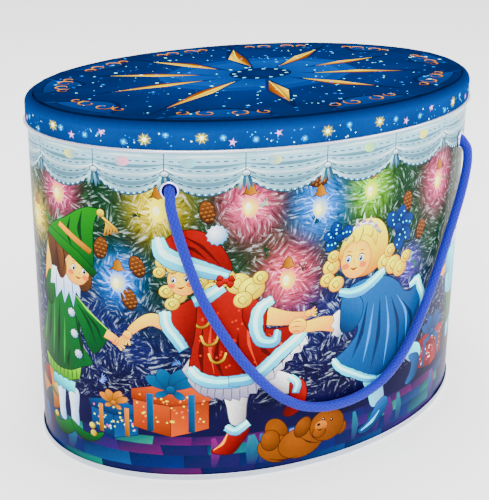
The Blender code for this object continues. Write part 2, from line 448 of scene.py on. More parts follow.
# A printed sheet: its rim, a grid and every painted outline are triangulated together, a narrow strip
# at a time. It comes back flat, in millimetres, each face coloured by the topmost outline on it.
def paintedSheet(name, strips, art, ground, cutOuts=(), low=None, high=None, level=1.0):
    outlines, paints, shifts = [None], [None], [0]
    for outline, paint, shift in art:
        if low is not None:
            outline = np.clip(outline, np.array(low) + 0.05, np.array(high) - 0.05)
        outlines.append(slim(np.asarray(outline, float)))
        paints.append(paint)
        shifts.append(shift)
    firstCut = len(outlines)
    outlines += [np.asarray(c, float) for c in cutOuts]
    spans = np.array([(1e9, -1e9)] + [(o[:, 0].min(), o[:, 0].max()) for o in outlines[1:]])
    flat, kept, top = [], [], []
    for rim, grid in strips:
        rim = np.asarray(rim, float)
        left, right = rim[:, 0].min(), rim[:, 0].max()
        parts, near = [rim], []
        for i in np.nonzero((spans[:, 0] < right) & (spans[:, 1] > left))[0]:
            part = outlines[i]
            if len(strips) > 1 and (spans[i, 0] < left or spans[i, 1] > right):
                part = clipped(part, left, right)
            if part is not None:
                parts.append(part)
                near.append(i)
        starts = np.cumsum([0] + [len(o) for o in parts])
        edges = [(v, v + 1 if v + 1 < b else a) for a, b in zip(starts, starts[1:]) for v in range(a, b)]
        cut = delaunay_2d_cdt([Vector(v) for v in np.vstack(parts + [grid])], edges, [], 1, 1e-4, False)
        spots = np.array([(v.x, v.y) for v in cut[0]])
        shapes = np.array([shape for shape in cut[2] if len(shape) == 3])
        tops = topmost(spots[shapes].mean(axis=1), outlines, near)
        shown = tops < firstCut
        kept += (shapes[shown] + len(flat)).tolist()
        top += tops[shown].tolist()
        flat += spots.tolist()
    flat = np.array(flat)
    where = flat[np.array(kept).ravel()]
    tops = np.repeat(top, 3)
    colours = np.zeros((len(where), 4))
    order = np.argsort(tops, kind="stable")
    bounds = np.searchsorted(tops[order], np.arange(firstCut + 1))
    for i in range(firstCut):
        chosen = order[bounds[i]:bounds[i + 1]]
        if not len(chosen):
            continue
        spots = where[chosen]
        if i == 0 or paints[i] is None:
            colours[chosen] = ground(spots)
            continue
        mode, a, b, c, light, dark, brush = paints[i]
        spots = spots - (shifts[i], 0)
        if mode == 0:
            t = 1 - np.clip(spots[:, 0] * a + spots[:, 1] * b + c, 0, 1)
        else:
            t = np.clip(np.hypot(spots[:, 0] - a, spots[:, 1] - b) / c, 0, 1)
        colours[chosen, :3] = light + (dark - light) * t[:, None]
        colours[chosen, 3] = brush
    colours[:, :3] *= level
    mesh = bpy.data.meshes.new(name)
    mesh.from_pydata([(x, y, 0) for x, y in flat], [], kept)
    layer = mesh.attributes.new("picture", "FLOAT_COLOR", "CORNER")
    layer.data.foreach_set("color", colours.astype(np.float32).ravel())
    uv = mesh.uv_layers.new(name="flat")
    uv.data.foreach_set("uv", (where / 100).astype(np.float32).ravel())
    print(name, "sheet:", len(kept), "faces from", len(outlines), "outlines")
    return mesh


def wallStrips(low, high, rows, wide):
    levels, strips = np.linspace(low, high, rows + 1), []
    for first in range(0, len(columnTravel) - 1, wide):
        columns = columnTravel[first:first + wide + 1]
        rim = [(s, low) for s in columns] + [(columns[-1], z) for z in levels[1:-1]]
        rim += [(s, high) for s in columns[::-1]] + [(columns[0], z) for z in levels[-2:0:-1]]
        grid = [(s + 0.01 * math.sin(7 * i + j), z + 0.01 * math.cos(5 * i + 3 * j))
                for i, s in enumerate(columns[1:-1]) for j, z in enumerate(levels[1:-1])]
        strips.append((rim, np.array(grid)))
    return strips


def moveFlat(mesh, placed):
    co = np.zeros(len(mesh.vertices) * 3)
    mesh.vertices.foreach_get("co", co)
    mesh.vertices.foreach_set("co", placed(co.reshape(-1, 3)).astype(np.float32).ravel())


def spunOval(profile, materialIndex=0, steps=None):
    shape = bmesh.new()
    ring = [shape.verts.new((halfShort + offset, 0, z)) for offset, z in profile]
    edges = [shape.edges.new(pair) for pair in zip(ring, ring[1:])]
    bmesh.ops.spin(shape, geom=ring + edges, axis=(0, 0, 1), cent=(0, 0, 0), angle=math.tau,
                   steps=steps or tin["columns"], use_merge=True)
    for vert in shape.verts:
        vert.co.x += stretch * vert.co.x / math.hypot(vert.co.x, vert.co.y)
    for face in shape.faces:
        face.material_index = materialIndex
        face.smooth = True
    return shape


def addInto(shape, other):
    carried = bpy.data.meshes.new("carried")
    other.to_mesh(carried)
    other.free()
    shape.from_mesh(carried)
    bpy.data.meshes.remove(carried)


def arc(centre, radius, start, end, steps):
    return [(centre[0] + radius * math.cos(math.radians(start + (end - start) * i / steps)),
             centre[1] + radius * math.sin(math.radians(start + (end - start) * i / steps)))
            for i in range(steps + 1)]


def joinBoundaries(shape):
    loose = [v for v in shape.verts if v.is_boundary]
    bmesh.ops.remove_doubles(shape, verts=loose, dist=2e-5)


def toObject(name, shape, materials):
    if shape.calc_volume(signed=True) < 0:
        bmesh.ops.reverse_faces(shape, faces=shape.faces)
    mesh = bpy.data.meshes.new(name)
    shape.to_mesh(mesh)
    loose = sum(1 for e in shape.edges if not e.is_manifold)
    print(name, len(shape.faces), "faces,", loose, "open edges")
    shape.free()
    made = bpy.data.objects.new(name, mesh)
    bpy.context.scene.collection.objects.link(made)
    for material in materials:
        mesh.materials.append(material)
    return made


def setNormals(piece, rules):
    mesh = piece.data
    normals = np.zeros(len(mesh.loops) * 3)
    mesh.corner_normals.foreach_get("vector", normals)
    normals = normals.reshape(-1, 3)
    owner = np.zeros(len(mesh.loops), int)
    mesh.loops.foreach_get("vertex_index", owner)
    co = np.zeros(len(mesh.vertices) * 3)
    mesh.vertices.foreach_get("co", co)
    co = co.reshape(-1, 3)[owner]
    sizes = np.zeros(len(mesh.polygons), int)
    mesh.polygons.foreach_get("loop_total", sizes)
    sheet = np.zeros(len(mesh.polygons), int)
    mesh.attributes["sheet"].data.foreach_get("value", sheet)
    sheets = np.repeat(sheet, sizes)
    for number, rule in rules.items():
        chosen = sheets == number
        normals[chosen] = rule(co[chosen])
    mesh.normals_split_custom_set(normals.tolist())


def tagSheet(mesh, number):
    layer = mesh.attributes.new("sheet", "INT", "FACE")
    layer.data.foreach_set("value", np.full(len(mesh.polygons), number))
    mesh.polygons.foreach_set("use_smooth", np.ones(len(mesh.polygons), bool))


# Eyelets: where they sit and how they are shaped, in metres
eyeletLow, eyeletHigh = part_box("eyelet_front_left")
eyelets = {
    "turn": math.radians(44.2), "height": (eyeletLow.z + eyeletHigh.z) / 2,
    "bore": 0.0029, "barrel": 0.0004, "flange": 0.0014, "rise": 0.0013, "collar": 0.0053,
    "collarThick": 0.0007, "steps": 64,
}


def eyeletPlace(front, side):
    outX, outY = side * math.sin(eyelets["turn"]), -front * math.cos(eyelets["turn"])
    long, short = halfLong + flareAt(eyelets["height"]), halfShort + flareAt(eyelets["height"])
    normal = Vector((outX / long, outY / short, 0))
    turned = normal.to_track_quat("Z", "Y").to_matrix().to_4x4()
    return Matrix.Translation((long * outX, short * outY, eyelets["height"])) @ turned


places = {f"{end}_{hand}": eyeletPlace(front, side)
          for front, end in ((1, "front"), (-1, "back")) for side, hand in ((-1, "left"), (1, "right"))}
holeR = (eyelets["bore"] + eyelets["barrel"] + tin["gap"]) / mm
eyeletTravel = float(np.interp(eyelets["turn"], turns, travel))
halfTurn = girth / 2
holeOutlines = [ellipse(s, eyelets["height"] / mm, holeR, count=32)
                for s in (-eyeletTravel, eyeletTravel, halfTurn - eyeletTravel, eyeletTravel - halfTurn)]

# The picture round the wall: s in millimetres from the middle of the front, z up from the floor
random.seed(7)
foldsAt = [-155, -121, -89, -54, -16, 23, 63, 101] + [101 + 37.96 * k for k in range(1, 10)]

# How much is scattered over the picture, and how dark each sheet is printed
scatter = {"tufts": 205, "needles": 6, "reflections": 26, "skirtDots": 240, "lidStars": 320}
printed = {"wall": 0.84, "lid": 0.85, "wallRows": 30, "skirtRows": 6, "wallStrip": 9, "skirtStrip": 20}

# The glowing lamps in the fir: place, glow radius, colour
lamps = [
    (-92, 136, 15, "f6e84a"), (-142, 138, 13, "f29cc0"), (-162, 122, 12, "f4e650"), (-111, 101, 13, "4cc0f6"),
    (-52, 137, 16, "f4a0bc"), (-19, 133, 16, "52c4f8"), (9, 137, 15, "b8e038"), (60, 131, 16, "f69cc0"),
    (-34, 101, 17, "f79cb0"), (112, 126, 14, "f4e650"), (38, 92, 12, "8c7cd8"), (132, 98, 13, "52c4f8"),
]
allLamps = lamps + [(s + halfTurn, z, r, lamps[(i + 5) % len(lamps)][3]) for i,
                    (s, z, r, _) in enumerate(lamps)]


def wallGround(spots):
    s, z = spots[:, 0], spots[:, 1]
    wave = np.sin(s / 9 + 2 * np.sin(z / 13)) * np.cos(z / 8 + 1.5 * np.sin(s / 17))
    wave2 = np.sin(s / 23 + 1.7 * np.sin(z / 19))
    green = linear("124a28") * (1 + 0.5 * wave[:, None]) + linear("1c5c38") * 0.2
    lilac = linear("28307c") * (1 + 0.4 * wave[:, None])
    night = linear("1a1258") * (1 + 0.25 * wave[:, None])
    upper = np.clip((z - 78 + 10 * wave2) / 26, 0, 1)[:, None]
    middle = np.clip((z - 50 + 7 * wave2) / 18, 0, 1)[:, None]
    colour = night * (1 - middle) + (lilac * (1 - upper) + green * upper) * middle
    for ls, lz, r, tint in allLamps:
        away = (s - ls + halfTurn) % girth - halfTurn
        near = np.exp(-((away / r) ** 2 + ((z - lz) / (r * 1.15)) ** 2) * 2.6)[:, None]
        colour = colour * (1 - 0.9 * near) + linear(tint) * 0.9 * near
    brush = np.clip((z - 30) / 12, 0, 1) * np.where(z > 150, 0.2, 0.9)
    return np.column_stack([np.maximum(colour, 0.0008), brush])


greens = ["4c9c58", "2f7a40", "103c20", "7cb488", "b4d0c0", "1f6234", "0a2c1a", "62a870", "185030", "0c3420"]
blues = ["5c74b8", "8ca8dc", "2c3a88", "483c90", "20206c", "7490cc", "b4c0ec", "1e1a5c", "181450", "2a2c78"]


def firTufts(art):
    for _ in range(scatter["tufts"]):
        x, y = random.uniform(-halfTurn, halfTurn), random.uniform(46, 148)
        palette = greens if y + random.uniform(-14, 14) > 82 else blues
        colour = random.choice(palette)
        turn, reach = random.uniform(0, math.tau), random.uniform(3.0, 5.5)
        for k in range(scatter["needles"]):
            out = turn + (k - 2.5) * 0.36 + random.uniform(-0.1, 0.1)
            sx, sy = x + math.cos(turn) * k * 0.3, y + math.sin(turn) * k * 0.3
            length = reach * random.uniform(0.7, 1.1)
            tip = (sx + math.cos(out) * length, sy + math.sin(out) * length)
            mid = ((sx + tip[0]) / 2 + random.uniform(-0.2, 0.2), (sy + tip[1]) / 2 + random.uniform(-0.2,
                0.2))
            put(art, ribbon([(sx, sy), mid, tip], (0.3, 0.55, 0.12), 1), colour, brush=0.4)


tiles = ["0f64a8", "1b3f9c", "5a2c98", "902a88", "1d9aa0", "24308c", "741a60", "1676b4", "43b09c", "35237c"]


def floorTiles(art):
    rows = [(1.0, 6.0, 24.0), (6.0, 13.0, 25.0), (13.0, 18.5, 21.0), (18.5, 23.0, 18.0)]
    for r, (low, high, wide) in enumerate(rows):
        count = int(round(girth / wide))
        for k in range(count):
            left = -halfTurn + girth * k / count + r * 7
            lean = random.uniform(-1.5, 1.5)
            colour = random.choice(tiles)
            quad = [(left, low), (left + girth / count, low), (left + girth / count + lean, high),
                    (left + lean, high)]
            put(art, quad, random.choice(tiles) if r == 3 else colour, "2a1c70" if r > 2 else "102a70",
                angle=-70,
                brush=0.12)
    for _ in range(scatter["reflections"]):
        x, w = random.uniform(-halfTurn, halfTurn), random.uniform(3, 8)
        put(art, ribbon([(x, 22), (x + 1, 14), (x, 6)], (w * 0.4, w, w * 0.5), 3),
            random.choice(["7c3aa0", "b04aa0", "3a8cc8", "a8a8c8", "2a9cb0"]), "3a2c80", brush=0.1)


def swag(art, left, right, shade):
    wide, middle = right - left, (left + right) / 2

    def hang(depth, lift=0.0, count=13):
        t = np.linspace(0, 1, count)
        return [(left + wide * u, 150.5 + lift - depth * (1 - (2 * u - 1) ** 2) ** 0.8) for u in t]
    edge = hang(9.0)
    put(art, [(left, 169)] + edge + [(right, 169)], "d4e0e4", "93b2bc", edge="3c6484", grow=0.5)
    for depth, lift, light, dark, w in ((7.6, 0.2, "e6f0f2", "a4c0ca", 1.5),
                                        (5.6, 1.4, "a9c4cc", "84a6b4", 1.6),
                                        (3.6, 3.0, "eef4f4", "a8c4cc", 1.7), (1.4, 5.0, "9dbcc6", "86a8b6",
                                            1.5),
                                        (-1.0, 7.0, "e4eef0", "a4c0c8", 1.5)):
        put(art, ribbon(hang(depth, lift), (0.4, w, w, 0.4), 1), light, dark)
    for depth, lift in ((6.7, 0.9), (4.6, 2.2), (2.4, 4.2), (0.2, 6.2)):
        line = hang(depth, lift, 19)
        for a in range(1, 17, 2):
            put(art, ribbon([line[a], line[a + 1]], (0.42, 0.42), 1), "24507e")
    for a, (x, y) in enumerate(hang(8.7, 0.0, 25)):
        put(art, ellipse(x, y + 0.1, 0.42, count=6), "2c6090" if a % 2 else "dce8f0")
    put(art, ellipse(middle + random.uniform(-8, 8), 156, 3.4, 2.2), shade, "b8ccd0", ball=(middle, 156, 7))
    for k, lean in enumerate((-2.2, -0.8, 0.8, 2.0)):
        put(art, ribbon([(left + lean * 0.4, 151), (left + lean, 147.5), (left + lean * 1.3, 143.5 + k % 2)],
                        (1.1, 1.7, 0.8), 3), ("dce8ee", "4f8ea0", "b8ccd8", "3c6a90")[k], "5c8ca0")
    put(art, ellipse(left, 151, 1.7, 1.3), "e4ecf0", "7498ac", edge="2c5478", grow=0.3)


def bulb(art, x, y, colour, size=1.0):
    for k in range(14):
        a = math.tau * k / 14 + 0.2
        r = (9.5 if k % 2 else 7.0) * size
        put(art, ribbon([(x + 3 * math.cos(a), y + 3.5 * math.sin(a)), (x + r * math.cos(a),
            y + r * 1.1 * math.sin(a))],
                        (0.7, 0.12), 1), "f8f4ec", colour, ball=(x, y, r))
    put(art, ellipse(x, y, 4.2 * size, 6.2 * size), "fffdf2", colour, ball=(x - 0.6, y - 0.8, 6.4 * size))
    put(art, ellipse(x - 1, y - 1, 1.6 * size, 2.8 * size), "ffffff", "fff6dc")
    cap = [(x - 4.3, y + 5.0), (x - 2.4, y + 6.6), (x - 1.4, y + 9.5), (x, y + 10.6), (x + 1.4, y + 9.5),
           (x + 2.4, y + 6.6), (x + 4.3, y + 5.0), (x + 2, y + 5.8), (x, y + 4.8), (x - 2, y + 5.8)]
    put(art, cap, "e8b848", "7a4a14", 0, edge="4a2c10", grow=0.3)


def cone(art, x, y, turn=0):
    c, s = math.cos(math.radians(turn)), math.sin(math.radians(turn))
    put(art, ellipse(x, y, 3.3, 5.2, turn), "a8683c", "5a3018", edge="2c180c", grow=0.3)
    for row in range(5):
        for k in range(3):
            u, v = (k - 1) * 2.0 + (row % 2) - 0.5, (row - 2) * 1.8
            if (u / 3) ** 2 + (v / 4.6) ** 2 < 1:
                put(art, ellipse(x + u * c - v * s, y + u * s + v * c, 0.8, 0.5, turn, 8), "d8a070", "6a3c20")


def present(art, x, y, w, h, colours, bow, pattern):
    light, dark, ribbonColour, ribbonDark = colours
    half, tip = w / 2, h * 0.16
    put(art, [(x - half, y + tip), (x, y), (x, y + h * 0.72), (x - half, y + h * 0.82)], light, dark, 100,
        edge="101838")
    put(art, [(x, y), (x + half, y + tip), (x + half, y + h * 0.82), (x, y + h * 0.72)], dark, light, 60,
        edge="101838")
    put(art, [(x - half - 0.8, y + h * 0.68), (x, y + h * 0.58), (x + half + 0.8, y + h * 0.68),
              (x + half + 0.8, y + h * 0.86), (x, y + h), (x - half - 0.8, y + h * 0.86)], light, dark, 80,
        edge="101838", grow=0.25)
    for _ in range(int(w * h / 16)):
        u, v = random.uniform(-half * 0.9, half * 0.9), random.uniform(0.2, 0.78) * h
        put(art, starShape(x + u, y + v, random.uniform(0.5, 1.0), 0.3, 5, random.uniform(0, 70)),
            random.choice(pattern))
    for lean in (-0.5, 0.5):
        put(art, ribbon([(x + lean * half * 1.1, y + tip * 0.55), (x + lean * half * 1.1, y + h * 0.8)],
                        (w * 0.09, w * 0.09), 1), ribbonColour, ribbonDark, 30)
    top = y + h * 0.88
    for a, reach in ((150, 1.0), (115, 0.9), (62, 0.95), (28, 1.0), (-150, 0.6), (-35, 0.6)):
        a = math.radians(a)
        lx, ly = bow * reach * math.cos(a), bow * reach * math.sin(a)
        soft(art, 4, [(x, top), (x + lx * 0.6 - ly * 0.3, top + ly * 0.6 + lx * 0.16), (x + lx, top + ly),
                             (x + lx * 0.7 + ly * 0.3, top + ly * 0.7 - lx * 0.2)],
            ribbonColour, ribbonDark, math.degrees(a), edge=ribbonDark, grow=0.25)
    put(art, ellipse(x, top, bow * 0.16), ribbonColour, ribbonDark, edge=ribbonDark, grow=0.2)


skin = {"light": "fde0c4", "mid": "f2b898", "dark": "d98c6c", "line": "a0584a", "blush": "f08c78"}


# A plain doll's face, seen a little from the side that look points to
def face(art, x, y, r, look=0.0, tip=0.0, eye="2c4a70"):
    put(art, ellipse(x, y, r, r * 1.06, tip), skin["light"], skin["mid"],
        ball=(x + look * r * 0.2, y + r * 0.2, r * 1.7),
        edge=skin["line"], grow=0.25)
    c, s = math.cos(math.radians(tip)), math.sin(math.radians(tip))

    def at(u, v):
        return x + u * r * c - v * r * s, y + u * r * s + v * r * c
    for side in (-1, 1):
        cx = side * 0.42 + look * 0.32
        put(art, ellipse(*at(cx + side * 0.16, -0.34), r * 0.24, r * 0.17, tip), skin["blush"], skin["mid"],
            ball=(*at(cx + side * 0.16, -0.34), r * 0.3))
        put(art, ellipse(*at(cx, 0.06), r * 0.17, r * 0.2, tip, 14), "f8f8f4", edge="5a3428", grow=r * 0.03)
        put(art, ellipse(*at(cx + look * 0.06, 0.04), r * 0.11, r * 0.15, tip, 12), eye, "101828")
        put(art, ellipse(*at(cx + look * 0.06 - 0.03, 0.1), r * 0.035, count=6), "ffffff")
        put(art, ribbon([at(cx - 0.2, 0.2), at(cx, 0.29), at(cx + 0.2, 0.2)], (r * 0.03, r * 0.08, r * 0.03),
                        3), "5a3020")
        put(art, ribbon([at(cx - 0.2, 0.44), at(cx, 0.5), at(cx + 0.2, 0.44)], (r * 0.02, r * 0.06, r * 0.02),
                        3), "a06c48")
    put(art, ribbon([at(look * 0.42, 0.04), at(look * 0.5 + 0.02, -0.18), at(look * 0.38, -0.2)],
                    (0.02 * r, 0.06 * r), 3),
        skin["dark"])
    put(art, ribbon([at(look * 0.34 - 0.24, -0.46), at(look * 0.36, -0.54), at(look * 0.34 + 0.24, -0.45)],
                    (r * 0.03, r * 0.13, r * 0.03), 4), "d0504c", "a83038")


def hand(art, x, y, turn, size=1.0):
    a = math.radians(turn)
    put(art, ellipse(x, y, 2.6 * size, 2.1 * size, turn), skin["light"], skin["mid"], edge=skin["line"],
        grow=0.2)
    for k in range(4):
        b = a + (k - 1.5) * 0.42
        put(art, ribbon([(x + 1.2 * math.cos(b), y + 1.2 * math.sin(b)),
                         (x + 3.4 * size * math.cos(b), y + 3.4 * size * math.sin(b)),
                         (x + 5.2 * size * math.cos(b * 0.96), y + 5.2 * size * math.sin(b * 0.96))],
                        (1.5 * size, 1.3 * size, 0.7 * size), 3), skin["light"], skin["mid"], -60,
            edge=skin["line"], grow=0.15)


def limb(art, points, widths):
    put(art, ribbon(points, widths, 5), skin["light"], skin["mid"], 110, edge=skin["line"], grow=0.22)


def furTrim(art, points, widths, light="f0f8fc", dark="86bcdc"):
    outline = ribbon(points, widths, 6)
    out = outline + np.random.RandomState(len(outline)).uniform(-0.22, 0.22, outline.shape)
    put(art, out, light, dark, 90, edge="3c7098", grow=0.3)
    inner = ribbon(points, [w * 0.35 for w in widths], 6) + (-0.2, 0.5)
    put(art, inner, "ffffff", light)


def folds(art, lines, colour, width=1.2):
    for line in lines:
        put(art, ribbon(line, (0.15, width, 0.15), 5), colour)


def curls(art, at, spots, light, dark, line):
    for x, y, r in spots:
        x += at
        put(art, ellipse(x, y, r, r * 0.86, 20, 16), light, dark, ball=(x - r * 0.3, y + r * 0.4, r * 1.5),
            edge=line, grow=0.3)
        put(art, ribbon([(x + r * 0.55, y + 0.1), (x + 0.1, y - r * 0.5), (x - r * 0.5, y), (x, y + r * 0.45),
                         (x + r * 0.3, y)], (0.25, 0.5, 0.2), 4), line)


# The doll in a coat, frills and a pointed hat
def hatDoll(art, x, coat, frill, hat, hair):
    p = movedBy(x)
    for left, right, foot in ((-10.5, -4.5, -11), (-1.5, 5.0, 4)):
        soft(art, 4, p([(left, 39), (left + 0.6, 30), (left + 1.5, 21), (left + 5.8, 20), (right - 0.6, 28),
                               (right, 39)]), "ffffff", "b4cce4", 170, edge="5878a4")
    soft(art, 4, p([(-16, 20), (-14, 15), (-9, 11.5), (-3, 13), (2, 18), (-2, 21), (-6, 19), (-11, 17.5),
                           (-13, 19.5)]), coat[0], coat[2], edge="08301c")
    soft(art, 4, p([(-1, 22), (2, 16), (8, 13.5), (15, 15.5), (19, 20.5), (15, 19.5), (10, 18), (5, 19)]),
        coat[0], coat[2], edge="08301c")
    for bx, by in ((-13, 20), (13.2, 19), (12.6, 23)):
        put(art, ellipse(x + bx, by, 1.7), "fff0a0", "c89020", ball=(x + bx - 0.5, by + 0.6, 2.4),
            edge="7a5410", grow=0.2)
    under = [(-14, 43), (-14.5, 37.5)] + [(-14 + 2.0 * k, 36.3 + (k % 2) * 1.4) for k in range(1, 8)] + [(2.5,
        37), (3, 43)]
    put(art, p(under), "d8f0f8", "6cacc8", 80, edge="2c6c8c")
    hem = [(-21, 51), (-19, 44.5)] + [(-18 + 2.1 * k, 42.6 + (k % 2) * 1.3) for k in range(1, 10)] + [(6, 46),
        (7.5, 53)]
    put(art, p(hem), frill[0], frill[1], 90, edge="1c5c20")
    folds(art, [p([(-17 + 3 * k, 51), (-16.6 + 3 * k, 47), (-16.8 + 3 * k, 43.5)]) for k in range(8)],
          frill[2], 0.9)
    soft(art, 5, p([(-11, 96), (-15, 86), (-17, 76), (-21, 66), (-25, 57), (-20, 51.5), (-10, 48), (0, 49),
                           (7, 52.5), (14, 56), (12, 60), (9, 64), (7, 74), (5, 86), (0, 95)]),
        coat[0], coat[1], 60, edge="06361c")
    folds(art, [p([(-12, 82), (-15, 66), (-19, 55)]), p([(-5, 84), (-7, 66), (-9, 50)]),
                p([(1, 60), (-1, 54), (-1, 50)]), p([(5, 80), (8, 66), (9, 56)])], coat[2], 2.2)
    folds(art, [p([(-9, 84), (-11, 66), (-13, 52)]), p([(-2, 76), (-3, 62), (-4, 51)]),
                p([(-17, 74), (-20, 63), (-22, 57)])], coat[3], 1.3)
    soft(art, 5, p([(3, 90), (10, 85), (19, 77.5), (23.5, 75), (22, 69), (16, 62), (12, 65), (8, 75),
                    (4, 82)]), coat[0], coat[1], 120, edge="06361c")
    put(art, ribbon(p([(5, 90), (13, 83), (23, 75.5)]), (0.4, 1.0, 0.6), 5), frill[0])
    folds(art, [p([(7, 85), (13, 77), (17, 66)]), p([(10, 83), (17, 76), (20, 69)])], coat[2], 1.5)
    for bx, by in ((3.0, 79.5), (4.2, 69), (6.2, 59)):
        put(art, starShape(x + bx, by, 2.5, 2.0, 9), "ffffff", "88b4d0", ball=(x + bx - 0.6, by + 0.8, 3.2),
            edge="0c4030", grow=0.4)
    hand(art, x + 27, 70.5, -25, 1.0)
    limb(art, p([(22, 73.5), (27, 71)]), (4.6, 3.8))
    limb(art, p([(-10.2, 112), (-12.0, 104), (-13.5, 95), (-14, 87), (-13, 81.5)]), (4.2, 4.4, 5.2, 6.0, 5.0))
    hand(art, x - 9.6, 111.5, 75, 0.7)
    soft(art, 4, p([(-17, 82), (-13, 79), (-9.5, 83), (-9, 92), (-12, 97), (-16.5, 90)]),
        coat[0], coat[2], 40, edge="06361c")
    soft(art, 5, p([(-9, 118), (-12, 111), (-10.5, 104), (-9.5, 99), (-5, 96.5), (2, 96), (8, 92), (14, 93.5),
                           (15.5, 99), (13.5, 105), (14, 110), (6, 114), (0, 117)]), hair[0], hair[1], 60,
        edge="2c1810")
    put(art, p([(-10, 99.5), (-1, 100), (7, 97), (9, 92.5), (8.6, 88), (6.4, 91), (4.4, 82.5), (2, 90),
                (-1.4, 83),
                (-3, 89.5), (-7.6, 84), (-8, 91), (-12, 90)]), "ffffff", "b8d0e8", 100, edge="5c80a4")
    folds(art, [p([(-6, 99), (-7, 92), (-7.4, 86)]), p([(-1, 99), (-1.3, 92), (-1.4, 85)]),
                p([(4, 98), (4.4, 92), (4.4, 85)])], "8cacd0", 0.7)
    face(art, x + 7.2, 102.0, 7.2, 0.55, -8, "5a3a20")
    soft(art, 4, p([(-3, 112), (1, 104), (0.5, 98), (-3, 95), (-6, 99), (-7, 107)]), hair[0], hair[1], 20)
    soft(art, 4, p([(2, 112), (5, 107), (10, 107.5), (14.5, 105), (14, 110), (8, 113)]), hair[0], hair[1])
    folds(art, [p([(-6, 114), (-5, 104), (-4, 98)]), p([(-1, 113), (0, 106), (-1, 99)])], hair[2], 0.9)
    soft(art, 5, p([(-9, 119), (-4, 123), (2, 126), (8, 130), (15, 133), (21.5, 132.5), (19, 129),
                    (17.5, 123),
                           (17, 115), (16.5, 105), (10, 108), (0, 114)]), hat[0], hat[1], 120, edge="06361c")
    folds(art, [p([(12, 131), (10, 122), (12, 112)]), p([(5, 127), (3, 119), (5, 113)])], hat[2], 2.2)
    put(art, ribbon(p([(-2.5, 122), (6, 117.5), (15.8, 112)]), (2.6, 2.8, 2.6), 5), "f8d050", "c07c18",
        edge="7a4c10", grow=0.2)
    put(art, ribbon(p([(-11, 117.5), (-2, 113.5), (8, 108.5), (17.5, 101.5)]), (3.4, 4.6, 4.6, 3.6), 6),
        hat[0], hat[2],
        edge="06361c")
    for k in range(5):
        put(art, ribbon(p([(22, 130), (24.5 + k * 0.9, 127 - k * 0.4), (23 + 1.7 * k, 121 + k * 0.5)]),
                        (0.9, 1.2, 0.7), 4),
            "fbe070", "c88c20", edge="8a5c14", grow=0.15)
    put(art, ellipse(x + 21.6, 131.3, 1.8), "fce878", "c88c20", edge="8a5c14", grow=0.2)


